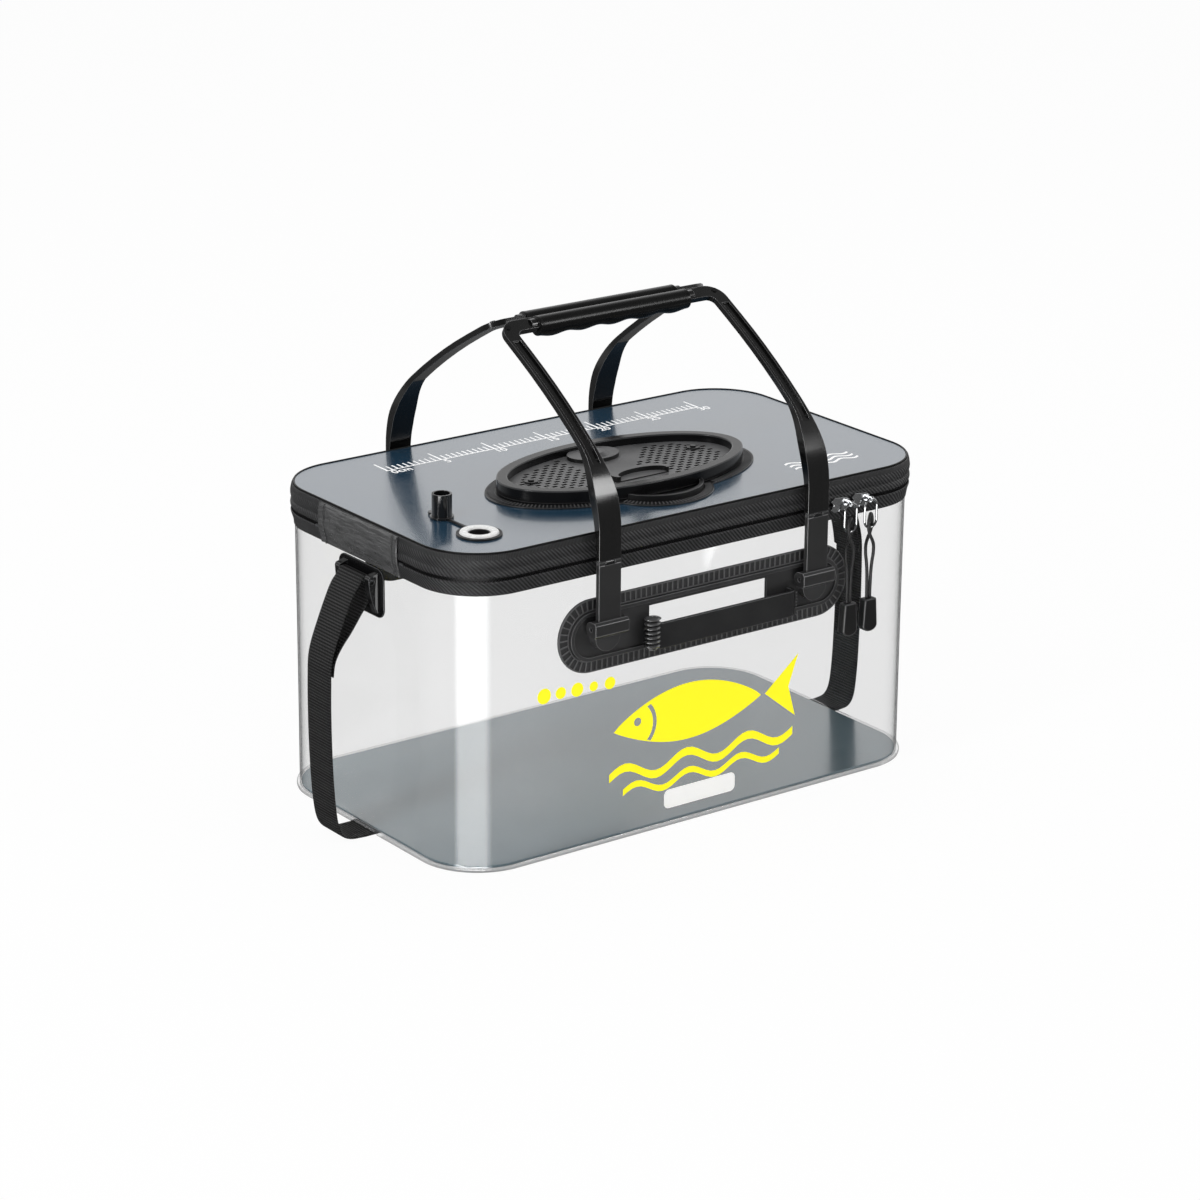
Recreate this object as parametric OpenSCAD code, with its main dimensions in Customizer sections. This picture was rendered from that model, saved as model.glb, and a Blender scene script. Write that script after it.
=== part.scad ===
// Clear soft-walled live-bait bucket with a zipped lid, a meshed hatch and two fold-out handles.
// Millimetres. Origin at the centre of the base, +Z up, X along the length, -Y the front.

/* [Body] */
// Length of the clear wall, outside
wall_l = 443.4; // [380:0.2:520]
// Width of the clear wall, outside
wall_w = 254.9; // [230:0.1:320]
// Corner radius of the clear wall, outside
corner_r = 48.5; // [40:0.5:60]
// Height of the lid's top face above the ground
lid_top_z = 246.6; // [236:0.1:290]
// Thickness of the clear wall
wall_t = 1.2; // [0.8:0.1:2]
// Thickness of the floor panel
floor_t = 2; // [1.5:0.1:4]
// How far the base bead stands out from the wall
bead_out = 2.3; // [1:0.1:4]
// Height of the base bead
bead_h = 4; // [3.8:0.1:6]
// Width of the bead's ledge under the floor, measured in from the wall
bead_ledge = 8; // [5:0.5:14]

/* [Lid and rim] */
// Thickness of the lid panel
lid_t = 2.5; // [1.5:0.1:3]
// Height of the padded band round the lid
lid_band_h = 17.8; // [16:0.1:22]
// Height of the gap that the zip teeth fill
zip_gap = 3.6; // [3:0.1:5]
// Height of the band round the tub's rim
rim_band_h = 10.7; // [10:0.1:14]
// How far the widest roll of the band stands out from the wall
band_out = 3.3; // [3:0.1:5]
// Radius of the spring wire in the lid and in the rim
hoop_r = 1.1; // [0.8:0.1:1.3]
// Clearance round each spring wire
hoop_gap = 0.05; // [0.02:0.01:0.1]
// Gap between the two rows of zip teeth
zip_split = 0.2; // [0.1:0.05:0.4]
// Width of the smooth hinge strip at the end
hinge_w = 102; // [60:1:120]
// Thickness of the hinge strip
hinge_t = 0.9; // [0.6:0.1:1]

/* [Vent] */
// Centre of the vent along the length
vent_x = -4; // [-20:1:20]
// Centre of the vent across the width
vent_y = -27; // [-30:1:-24]
// Half the length of the vent's weld flange
vent_flange_a = 118.8; // [114:0.2:124]
// Half the width of the vent's weld flange
vent_flange_b = 63.3; // [60:0.1:66]
// Width of the weld flange outside the hatch ring
vent_flange_w = 10; // [6:0.5:12]
// Width of the hatch ring's rim
hatch_rim_w = 9; // [6:0.5:11]
// Height of the hatch ring
hatch_h = 10.3; // [8:0.1:14]
// Thickness of the hatch's mesh floor
mesh_t = 1.6; // [1:0.1:3]
// Length of one hole in the mesh
mesh_hole_l = 4.6; // [3:0.1:5.5]
// Width of one hole in the mesh
mesh_hole_w = 2.6; // [2:0.1:3.2]
// Distance between holes along a row
mesh_pitch_x = 8.6; // [7.5:0.1:12]
// Distance between rows of holes
mesh_pitch_y = 4.6; // [4.4:0.1:8]
// Half the length of the finger lobe in front of the vent
lobe_a = 45; // [35:1:50]
// Half the width of the finger lobe in front of the vent
lobe_b = 40; // [34:0.5:42]

/* [Air port] */
// Place of the air port along the length
port_x = -174.3; // [-180:0.1:-165]
// Place of the air port across the width
port_y = -83; // [-90:0.5:-75]
// Radius of the air port's hole
port_r = 7.4; // [5:0.1:9]
// Radius of the air port's black flange
port_flange_r = 17; // [14:0.1:19]
// Radius of the pale ring on the air port
eyelet_r = 14.8; // [12:0.1:16]
// Outer radius of the stopper, a press fit in the port
plug_r = 7.6; // [5:0.1:9]
// Height of the stopper above its flange
plug_h = 17; // [12:0.5:25]
// Distance from the port's centre to the stopper's centre
tether_reach = 48; // [42:0.5:60]
// Width of the tether
tether_w = 3.6; // [2:0.1:6]
// Thickness of the tether
tether_t = 1.3; // [0.8:0.1:2]

/* [Carrying handles] */
// Distance from the middle to the centre of each leg
leg_x = 98; // [90:0.5:105]
// Width of a leg at its foot
leg_w = 20; // [16:0.5:24]
// Thickness of a leg at its foot
leg_t = 4; // [3:0.1:5]
// How far the leg's outer face stands from the wall
leg_out = 12.55; // [12.3:0.05:16]
// Height of the collar's hinge pin above the ground
collar_z = 176; // [172:0.5:182]
// Height of the fold line where the handle meets its link
fold_z = 226; // [218:0.5:232]
// Width of the handle's bars above the bend
bar_w = 11.4; // [10:0.1:14]
// Thickness of the handle's bars above the bend
bar_t = 4.7; // [4:0.1:6]
// Thickness of the leg where it is thickest, in the bend
bend_t = 7.5; // [5:0.1:8]
// Radius of the bend that leads the legs over the lid
bend_r = 80; // [70:1:95]
// Angle of the bend
bend_angle = 52; // [48:0.5:55]
// Radius of the slight curve of the legs above the bend
sweep_r = 570; // [450:10:900]
// Angle of the handle's upper part, from upright
slope_angle = 61; // [59:0.5:63]
// Straight length of the leg above the fold line
leg_straight = 21; // [16:0.5:24]
// Radius of the bar through the grip
grip_bar_r = 4.6; // [3.5:0.1:5]
// Radius of the grip
grip_r = 7.7; // [6.8:0.1:9]
// Length of the grip
grip_l = 142; // [110:1:150]
// Number of finger hollows under the grip
grip_waves = 5; // [4:1:6]
// How far the grip's centre lies below its bar's centre
grip_drop = 1.6; // [0.5:0.1:2.2]
// Half the gap between the two grips when they lie together
grip_gap = 0.3; // [0.2:0.1:2]
// Width of the groove in the bars
groove_w = 6.4; // [4:0.1:7]
// Depth of the groove in the bars
groove_d = 2; // [1:0.1:2.6]

/* [Collars and pins] */
// Width of a collar
collar_w = 30.5; // [26:0.5:34]
// Half the height of a collar
collar_half = 6; // [5:0.1:6.2]
// Width of the knuckle that stands on the side plate
knuckle_w = 8; // [6:0.1:10]
// Radius of a collar pin
collar_pin_r = 1.5; // [1.2:0.1:2]
// Radius of a fold pin
fold_pin_r = 0.9; // [0.7:0.05:1.1]
// Radial running clearance of a pin
pin_gap = 0.06; // [0.02:0.01:0.1]
// Side clearance between hinge knuckles
side_gap = 0.3; // [0.2:0.05:0.5]

/* [Side plates] */
// Length of a side plate
plate_l = 273; // [260:1:290]
// Height of a side plate
plate_h = 57; // [52:0.5:62]
// Height of the side plate's centre above the ground
plate_z = 168; // [164:0.5:172]
// Width of the ribbed weld flange
plate_flange_w = 9.5; // [6:0.5:12]
// Thickness of the weld flange
plate_flange_t = 1.35; // [1:0.05:1.6]
// Thickness of the plate at its recessed face
plate_face_t = 2.55; // [2:0.05:3]
// Thickness of the plate at its raised rim
plate_rim_t = 4.5; // [4:0.1:5]
// Width of the raised rim
plate_rim_w = 3; // [2:0.1:5]
// Half the length of the window in the plate
window_half = 55.5; // [50:0.5:60]
// Shift of the window along the length
window_x = 1.5; // [0:0.5:6]
// Height of the window's upper edge above the ground
window_top = 181; // [178:0.5:184]
// Height of the window's lower edge above the ground
window_bottom = 151; // [148:0.5:154]
// Length of the grab bar
grab_l = 136; // [120:1:150]
// Shift of the grab bar along the length
grab_x = 11.5; // [0:0.5:15]
// Height of the grab bar, edge to edge
grab_h = 20; // [14:0.5:22]
// Thickness of the grab bar
grab_t = 3; // [2:0.1:4]
// How far the grab bar's face stands from the wall
grab_out = 13.5; // [12.5:0.1:16]

/* [End straps] */
// Width of the webbing
strap_w = 32; // [25:0.5:38]
// Thickness of the webbing
strap_t = 1.7; // [1:0.1:1.9]
// How far the left strap bulges out from the wall
left_bulge = 39.4; // [36:0.2:42]
// How far the right strap bulges out from the wall
right_bulge = 28; // [26:0.2:42]
// Width of the strap's base plate
strap_base_w = 60; // [50:1:70]
// Height of the strap's base plate
strap_base_h = 38; // [34:0.5:42]
// Height of the base plate's centre above the ground
strap_base_z = 194; // [190:0.5:196]
// Radius of the bar that the webbing turns round
strap_bar_r = 2; // [1.5:0.1:2.4]

/* [Zip pulls] */
// Place of the left slider along the front
slider_a_x = 126; // [124:0.5:128]
// Distance between the two sliders
slider_pitch = 20; // [19:0.5:22]
// Length of a slider
slider_l = 18; // [12:0.5:18.5]
// Height of a slider
slider_h = 12; // [9:0.5:13]
// Radius of the ring's wire
ring_wire_r = 0.9; // [0.6:0.05:1.1]
// Radius of the ring's round ends, to the wire's centre
ring_end_r = 5.9; // [5:0.1:7]
// Straight length of the ring's sides
ring_side_l = 11; // [8:0.5:14]
// Radius of the pull cord
cord_r = 1.3; // [1:0.05:1.4]
// Width of a pull tab at its foot
tab_w = 14; // [10:0.5:16]
// Thickness of a pull tab
tab_t = 7.5; // [5:0.1:8]
// Height of a pull tab
tab_h = 29; // [20:0.5:34]

/* [Hidden] */
$fn = 64;

straight_l = wall_l - 2 * corner_r;
straight_w = wall_w - 2 * corner_r;
face_y = wall_w / 2;
end_x = wall_l / 2;
touch = 0.3;
seam = 0.02;

// Heights, from the ground up
floor_z = 2;
band_top_z = lid_top_z - 0.6;
lid_band_z = lid_top_z - lid_band_h;
split_z = lid_band_z - zip_gap / 2;
rim_top_z = lid_band_z - zip_gap;
rim_low_z = rim_top_z - rim_band_h;
wall_top_z = rim_top_z - 1.2;

// ---------------------------------------------------------------- helpers

// A rectangle with true round corners, centred
module rounded_rect(l, w, r) {
    square([l - 2 * r, w], center = true);
    square([l, w - 2 * r], center = true);
    for (sx = [-1, 1], sy = [-1, 1])
        translate([sx * (l / 2 - r), sy * (w / 2 - r)]) circle(r);
}

// The wall's outline moved out by d, or in where d is negative
module wall_outline(d) {
    rounded_rect(wall_l + 2 * d, wall_w + 2 * d, corner_r + d);
}

// Carries a profile round the wall: its x is the distance out from the wall's face, its y is height
module around_wall() {
    for (turn = [0, 180]) rotate(turn) {
        translate([-straight_l / 2, face_y, 0]) rotate([90, 0, 90]) linear_extrude(straight_l) children();
        translate([end_x, straight_w / 2, 0]) rotate([90, 0, 0]) linear_extrude(straight_w) children();
        translate([straight_l / 2, straight_w / 2, 0])
            rotate_extrude(angle = 90) translate([corner_r, 0]) children();
        translate([-straight_l / 2, straight_w / 2, 0]) rotate(90)
            rotate_extrude(angle = 90) translate([corner_r, 0]) children();
    }
}

// Carries a profile along the straight part of the left end wall, centred, for a length
module along_left_end(length) {
    translate([-end_x, -length / 2, 0]) rotate([90, 0, 180]) linear_extrude(length) children();
}

// Extrudes a side view, whose x is depth and y is height, along X and centred
module side_view(length) {
    translate([-length / 2, 0, 0]) rotate([90, 0, 90]) linear_extrude(length) children();
}

// Extrudes a front view, whose x is X and y is height, from depth y0 to y1
module front_view(y0, y1) {
    translate([0, y1, 0]) rotate([90, 0, 0]) linear_extrude(y1 - y0) children();
}

// A cylinder along X, centred at a point
module pin_x(at, r, length) {
    translate(at) rotate([0, 90, 0]) cylinder(h = length, r = r, center = true);
}

// Points of an oval with half axes a and b
function oval(a, b, n = 120) = [for (i = [0:n - 1]) [a * cos(360 * i / n), b * sin(360 * i / n)]];

// A smooth curve through hand-chosen points, with a few steps between each pair
function spline_point(p0, p1, p2, p3, t) =
    0.5 * (2 * p1 + (p2 - p0) * t + (2 * p0 - 5 * p1 + 4 * p2 - p3) * t * t
    + (3 * p1 - p0 - 3 * p2 + p3) * t * t * t);
function smooth(p, steps = 5) = let (n = len(p)) concat(
    [for (i = [0:n - 2], s = [0:steps - 1])
        spline_point(p[max(i - 1, 0)], p[i], p[i + 1], p[min(i + 2, n - 1)], s / steps)],
    [p[n - 1]]);

// The outline of a strip of thickness t that follows a 2-D path
function unit(v) = v / norm(v);
function path_dir(p, i) = unit(p[min(i + 1, len(p) - 1)] - p[max(i - 1, 0)]);
function side_point(p, i, d) = p[i] + d * [-path_dir(p, i)[1], path_dir(p, i)[0]];
function ribbon(p, t) = concat(
    [for (i = [0:len(p) - 1]) side_point(p, i, t / 2)],
    [for (i = [len(p) - 1:-1:0]) side_point(p, i, -t / 2)]);

// A round tube swept along a 3-D path as one closed mesh; no two rings share a twist
module tube(p, r, sides = 8) {
    n = len(p);
    frame_x = [for (i = [0:n - 1]) unit(cross([0, 1, 0.02], path_dir(p, i)))];
    frame_y = [for (i = [0:n - 1]) cross(path_dir(p, i), frame_x[i])];
    points = [for (i = [0:n - 1], k = [0:sides - 1])
        p[i] + r * (cos(360 * k / sides) * frame_x[i] + sin(360 * k / sides) * frame_y[i])];
    skin = [for (i = [0:n - 2], k = [0:sides - 1]) let (m = (k + 1) % sides) each [
        [i * sides + k, (i + 1) * sides + k, (i + 1) * sides + m],
        [i * sides + k, (i + 1) * sides + m, i * sides + m]]];
    caps = [for (k = [1:sides - 2]) each [
        [0, k, k + 1],
        [(n - 1) * sides, (n - 1) * sides + k + 1, (n - 1) * sides + k]]];
    polyhedron(points = points, faces = concat(skin, caps));
}

// ---------------------------------------------------------------- tub

module wall_shell() {
    color([0.92, 0.94, 0.95, 0.35]) translate([0, 0, bead_h])
        linear_extrude(wall_top_z - bead_h) difference() {
            wall_outline(0);
            wall_outline(-wall_t);
        }
}

// The floor: a stiff board that stands on the ground, under a sheet that reaches the wall
floor_board_in = 13.5;
module floor_panel() {
    color([0.4, 0.45, 0.47]) {
        translate([0, 0, floor_z]) linear_extrude(floor_t) wall_outline(-wall_t);
        linear_extrude(floor_z + seam) wall_outline(-floor_board_in);
    }
}

// The clear bead round the base, with a ledge under the floor and a notch for each strap
module base_bead() {
    notch_w = strap_w + 1;
    color([0.95, 0.96, 0.97, 0.5]) difference() {
        linear_extrude(bead_h) difference() {
            wall_outline(bead_out);
            wall_outline(-bead_ledge);
        }
        translate([0, 0, floor_z]) linear_extrude(bead_h) wall_outline(-wall_t);
        for (s = [-1, 1]) translate([s * end_x, 0, 0]) cube([50, notch_w, 2 * floor_z], center = true);
    }
}

// The band sewn over the wall's upper edge, with a tunnel for the spring wire
rim_hoop_d = -2.95;
rim_hoop_z = wall_top_z - 1.8;
module rim_band() {
    color([0.06, 0.06, 0.07]) around_wall() difference() {
        polygon([
            [0, rim_low_z], [0.7, rim_low_z], [1, rim_low_z + 5], [band_out - 0.7, rim_top_z - 0.8],
            [band_out - 0.9, rim_top_z], [-4.7, rim_top_z], [-4.7, rim_top_z - 5.7],
            [-wall_t, rim_top_z - 5.7], [-wall_t, wall_top_z], [0, wall_top_z]]);
        translate([rim_hoop_d, rim_hoop_z]) circle(hoop_r + hoop_gap);
    }
}

module rim_hoop() {
    color("silver") around_wall() translate([rim_hoop_d, rim_hoop_z]) circle(hoop_r);
}

zip_row_h = (zip_gap - zip_split) / 2;
zip_inner_d = 0.4;
zip_outer_d = 2;
module zip_lower() {
    color([0.09, 0.09, 0.1]) around_wall()
        translate([zip_inner_d, rim_top_z]) square([zip_outer_d - zip_inner_d, zip_row_h]);
}

// Two small clamps that end the zip beside the hinge strip
module zip_stops() {
    stop_l = 5;
    color("silver") for (s = [-1, 1])
        translate([0, s * (hinge_w / 2 + stop_l), 0])
            along_left_end(stop_l) translate([zip_outer_d, rim_top_z]) square([1.1, zip_row_h]);
}

// The lower half of the hinge strip, laid over the rim band
module hinge_strip_lower() {
    path = [for (p = [
        [0.7, rim_low_z], [1, rim_low_z + 5], [band_out - 0.7, rim_top_z - 0.8],
        [band_out - 0.7, split_z - zip_split / 2]]) p + [seam, 0]];
    outer = [for (p = path) p + [hinge_t, 0]];
    color([0.16, 0.16, 0.17]) along_left_end(hinge_w)
        polygon(concat(path, [for (i = [len(path) - 1:-1:0]) outer[i]]));
}

// ---------------------------------------------------------------- side plates

module stadium(l, h) {
    rounded_rect(l, h, h / 2 - 0.01);
}

collar_y = leg_out - 2.5;
tab_pad_top = collar_z - collar_half * 1.28;
module plate() {
    rim_l = plate_l - 2 * plate_flange_w;
    rim_h = plate_h - 2 * plate_flange_w;
    window_h = window_top - window_bottom;
    difference() {
        translate([0, -face_y, plate_z]) rotate([90, 0, 0]) {
            linear_extrude(plate_flange_t) stadium(plate_l, plate_h);
            linear_extrude(plate_face_t) stadium(rim_l, rim_h);
            linear_extrude(plate_rim_t) difference() {
                stadium(rim_l, rim_h);
                stadium(rim_l - 2 * plate_rim_w, rim_h - 2 * plate_rim_w);
            }
        }
        translate([window_x, -face_y, (window_top + window_bottom) / 2])
            cube([2 * window_half, 20, window_h], center = true);
        // room for the collars to turn in the raised rim
        for (s = [-1, 1]) translate([s * leg_x, -face_y - plate_face_t - 5, collar_z])
            cube([collar_w + 2 * side_gap, 10, 2 * collar_half + 4], center = true);
    }
    for (s = [-1, 1]) {
        // knuckle that carries the collar's pin
        difference() {
            union() {
                pin_x([s * leg_x, -face_y - collar_y, collar_z], 3.6, knuckle_w);
                translate([s * leg_x, -face_y - (collar_y + 2) / 2, collar_z])
                    cube([knuckle_w, collar_y - 2, 7.2], center = true);
            }
            pin_x([s * leg_x, -face_y - collar_y, collar_z], collar_pin_r, collar_w);
        }
        // round release pad under the collar
        intersection() {
            front_view(-face_y - leg_out + 2, -face_y - 1)
                translate([s * leg_x, tab_pad_top]) circle(leg_w / 2 + 1.3);
            translate([s * leg_x, -face_y, tab_pad_top - 20]) cube([40, 40, 40], center = true);
            translate([0, -face_y, plate_z])
                cube([plate_l, 40, plate_h - 2 * plate_flange_w], center = true);
        }
    }
}

module front_plate() {
    color([0.1, 0.1, 0.11]) plate();
}

module back_plate() {
    color([0.1, 0.1, 0.11]) rotate(180) plate();
}

// A flat bar that stands off the plate and turns back to it at both ends
module grab_bar() {
    foot = plate_face_t;
    half = grab_l / 2 - grab_t / 2;
    mid = grab_out - grab_t / 2;
    path = concat([[-half, foot], [-half, foot + 3]],
        smooth([[-half, foot + 4], [-half + 0.6, mid - 2.6], [-half + 3, mid - 0.5], [-half + 7, mid]], 3),
        smooth([[half - 7, mid], [half - 3, mid - 0.5], [half - 0.6, mid - 2.6], [half, foot + 4]], 3),
        [[half, foot + 3], [half, foot]]);
    difference() {
        translate([grab_x, -face_y, window_bottom - 1.5])
            mirror([0, 1, 0]) linear_extrude(grab_h) polygon(ribbon(path, grab_t));
        // the feet stand inside the plate's raised rim
        translate([grab_x - grab_l, -face_y - plate_rim_t - touch, 0])
            cube([2 * grab_l, plate_rim_t + touch, plate_z - plate_h / 2 + plate_flange_w + plate_rim_w + touch]);
    }
}

module front_grab_bar() {
    color([0.12, 0.12, 0.13]) grab_bar();
}

module back_grab_bar() {
    color([0.12, 0.12, 0.13]) rotate(180) grab_bar();
}

module collar_pins() {
    color("silver") for (turn = [0, 180], s = [-1, 1]) rotate(turn)
        pin_x([s * leg_x, -face_y - collar_y, collar_z], collar_pin_r, collar_w - 4);
}

// ---------------------------------------------------------------- end straps

strap_bar_d = 6.6;
strap_bar_z = strap_base_z + 9.6;
// A ribbed flange with two raised cheeks that hold the bar
module strap_base() {
    cheek_w = 6;
    cheek_in = strap_w / 2 + 1;
    flange_t = 1.4;
    foot_z = strap_base_z - strap_base_h / 2;
    translate([-end_x, 0, 0]) mirror([1, 0, 0]) difference() {
        union() {
            translate([0, 0, strap_base_z]) rotate([90, 0, 90])
                linear_extrude(flange_t) rounded_rect(strap_base_w, strap_base_h, 8);
            for (s = [-1, 1]) translate([0, s * (cheek_in + cheek_w / 2), 0]) rotate([90, 0, 0])
                linear_extrude(cheek_w, center = true) polygon([
                    [0, foot_z + 3], [3.2, foot_z + 4], [6.4, foot_z + 12], [9, strap_bar_z - 6],
                    [9.6, strap_bar_z + 2.4], [8.4, strap_bar_z + 4.2], [3, strap_bar_z + 5.6],
                    [0, strap_bar_z + 6.4]]);
        }
        translate([strap_bar_d, 0, strap_bar_z]) rotate([90, 0, 0])
            cylinder(h = strap_base_w, r = strap_bar_r, center = true);
    }
}

module strap_bases() {
    color([0.1, 0.1, 0.11]) for (turn = [0, 180]) rotate(turn) strap_base();
}

// How far each bar runs past the webbing, into the base's cheeks
bar_end = 4;
module strap_bars() {
    color("dimgray") for (turn = [0, 180]) rotate(turn)
        translate([-end_x - strap_bar_d, 0, strap_bar_z]) rotate([90, 0, 0])
            cylinder(h = strap_w + 2 * bar_end, r = strap_bar_r, center = true);
}

// The webbing's route from under the base, out by a share of its bulge, up over the bar and back down
// to where it is sewn to itself
function strap_route(bulge) = let (z = strap_bar_z) [
    [-12, 0.95], [2, 0.95], [0.35 * bulge, 1.1], [0.66 * bulge, 3], [0.84 * bulge, 11],
    [0.93 * bulge, 30], [0.98 * bulge, 60], [bulge, 92], [0.995 * bulge, 124], [0.955 * bulge, 146],
    [0.76 * bulge, 168], [6 + 0.33 * bulge, z - 11], [7 + 0.15 * bulge, z - 2.6], [10, z + 1.6],
    [8.4, z + 2.8], [6.4, z + 3.1], [4.3, z + 2.2], [3.4, z - 0.6], [3, z - 5], [3.3, z - 11],
    [4 + 0.05 * bulge, z - 18], [3.4 + 0.25 * bulge, z - 28], [2 + 0.47 * bulge, z - 38],
    [0.75 * bulge, z - 49], [bulge - 4.4, z - 59], [bulge - 2.6, z - 70]];
module strap(bulge) {
    translate([-end_x, 0, 0]) mirror([1, 0, 0]) rotate([90, 0, 0])
        linear_extrude(strap_w, center = true) polygon(ribbon(smooth(strap_route(bulge), 3), strap_t));
}

module left_strap() {
    color([0.07, 0.07, 0.07]) strap(left_bulge);
}

module right_strap() {
    color([0.07, 0.07, 0.07]) rotate(180) strap(right_bulge);
}

// ---------------------------------------------------------------- lid

hatch_a = vent_flange_a - vent_flange_w;
hatch_b = vent_flange_b - vent_flange_w / 2;
vent_open_a = hatch_a - hatch_rim_w;
vent_open_b = hatch_b - hatch_rim_w;
port_barrel_r = port_r + 2;

module lid_panel() {
    color([0.1, 0.2, 0.28]) translate([0, 0, lid_top_z - lid_t]) linear_extrude(lid_t) difference() {
        wall_outline(-0.5);
        translate([vent_x, vent_y]) polygon(oval(vent_open_a, vent_open_b));
        translate([port_x, port_y]) circle(port_barrel_r);
    }
}

lid_hoop_d = 0.2;
lid_hoop_z = lid_band_z + 9;
module lid_band() {
    under = lid_top_z - lid_t;
    color([0.06, 0.06, 0.07]) around_wall() difference() {
        polygon([
            [-2, lid_band_z], [band_out - 0.7, lid_band_z], [band_out, lid_band_z + 1.6],
            [band_out, lid_band_z + 3.2], [band_out - 0.9, lid_band_z + 4.8], [band_out - 1.2, lid_band_z + 5.3],
            [band_out - 0.7, lid_band_z + 6], [band_out - 0.2, lid_band_z + 8.6],
            [band_out - 0.2, lid_band_z + 11.2], [band_out - 0.6, lid_band_z + 14.2], [1.7, band_top_z],
            [-0.5, band_top_z], [-0.5, under], [-2, under]]);
        translate([lid_hoop_d, lid_hoop_z]) circle(hoop_r + hoop_gap);
    }
}

module lid_piping() {
    piping_r = 0.7;
    color([0.04, 0.04, 0.04]) around_wall() translate([0.3, band_top_z + piping_r]) circle(piping_r);
}

module lid_hoop() {
    color("silver") around_wall() translate([lid_hoop_d, lid_hoop_z]) circle(hoop_r);
}

module zip_upper() {
    color([0.09, 0.09, 0.1]) around_wall()
        translate([zip_inner_d, lid_band_z - zip_row_h]) square([zip_outer_d - zip_inner_d, zip_row_h]);
}

// The upper half of the hinge strip, laid over the lid band
module hinge_strip_upper() {
    path = [for (p = [
        [band_out - 0.7, split_z + zip_split / 2], [band_out - 0.7, lid_band_z], [band_out, lid_band_z + 1.6],
        [band_out, lid_band_z + 11.2], [band_out - 0.4, lid_band_z + 14.2], [2, band_top_z - 0.6]]) p + [seam, 0]];
    outer = [for (p = path) p + [hinge_t, 0]];
    color([0.16, 0.16, 0.17]) along_left_end(hinge_w)
        polygon(concat(path, [for (i = [len(path) - 1:-1:0]) outer[i]]));
}

// ---------------------------------------------------------------- vent

hatch_z = lid_top_z + 1.8;
hinge_y = vent_y + hatch_b + 3.5;
hinge_z = hatch_z + 2.4;
hinge_pin_r = 1.2;
hinge_eye_r = 2.6;
ear_x = 22;
ear_w = 8;
// The weld flange with its finger lobe, and the ears that hold the hatch's pin
module vent_base() {
    flange_t = 1.2;
    lobe_y = -72;
    color([0.08, 0.08, 0.09]) {
        translate([0, 0, lid_top_z]) {
            difference() {
                union() {
                    linear_extrude(flange_t) translate([vent_x, vent_y])
                        polygon(oval(vent_flange_a, vent_flange_b));
                    linear_extrude(flange_t) translate([vent_x, lobe_y]) polygon(oval(lobe_a, lobe_b, 48));
                }
                translate([vent_x, vent_y, -1]) linear_extrude(9) polygon(oval(vent_open_a, vent_open_b));
            }
            // hollow bulge that leaves room for a finger under the hatch's edge
            translate([vent_x, lobe_y, 0]) difference() {
                linear_extrude(6) polygon(oval(lobe_a - 8, lobe_b - 8, 48));
                translate([0, 0, flange_t]) linear_extrude(6)
                    polygon(oval(lobe_a - 11, lobe_b - 11, 48));
                translate([0, vent_y - lobe_y, flange_t])
                    linear_extrude(6) polygon(oval(hatch_a + touch, hatch_b + touch));
                translate([0, vent_y - lobe_y, -1]) linear_extrude(9)
                    polygon(oval(vent_open_a, vent_open_b));
            }
        }
        for (s = [-1, 1]) difference() {
            union() {
                pin_x([vent_x + s * ear_x, hinge_y, hinge_z], hinge_eye_r, ear_w);
                translate([vent_x + s * ear_x, hinge_y, (lid_top_z + hinge_z) / 2])
                    cube([ear_w, 2 * hinge_eye_r, hinge_z - lid_top_z], center = true);
            }
            pin_x([vent_x + s * ear_x, hinge_y, hinge_z], hinge_pin_r, 3 * ear_w);
        }
    }
}

module vent_hinge_pin() {
    color("silver") pin_x([vent_x, hinge_y, hinge_z], hinge_pin_r, 2 * ear_x + ear_w);
}

module hatch_ring() {
    eye_w = 2 * ear_x - ear_w - 2 * side_gap;
    color([0.08, 0.08, 0.09]) difference() {
        union() {
            translate([vent_x, vent_y, hatch_z]) linear_extrude(hatch_h) difference() {
                polygon(oval(hatch_a, hatch_b));
                polygon(oval(vent_open_a, vent_open_b));
            }
            pin_x([vent_x, hinge_y, hinge_z], hinge_eye_r - 0.2, eye_w);
            translate([vent_x, hinge_y - 3, hinge_z]) cube([eye_w, 6, 3], center = true);
        }
        pin_x([vent_x, hinge_y, hinge_z], hinge_pin_r + pin_gap, 4 * ear_x);
        // the ears stand in two notches of the ring
        for (s = [-1, 1]) translate([vent_x + s * ear_x, hinge_y + 0.5, hatch_z])
            cube([ear_w + 2 * side_gap, 2 * hinge_eye_r + 3, 4 * hinge_eye_r], center = true);
    }
}

mesh_z = hatch_z + 2.4;
dome_y = vent_y + 36;
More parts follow.
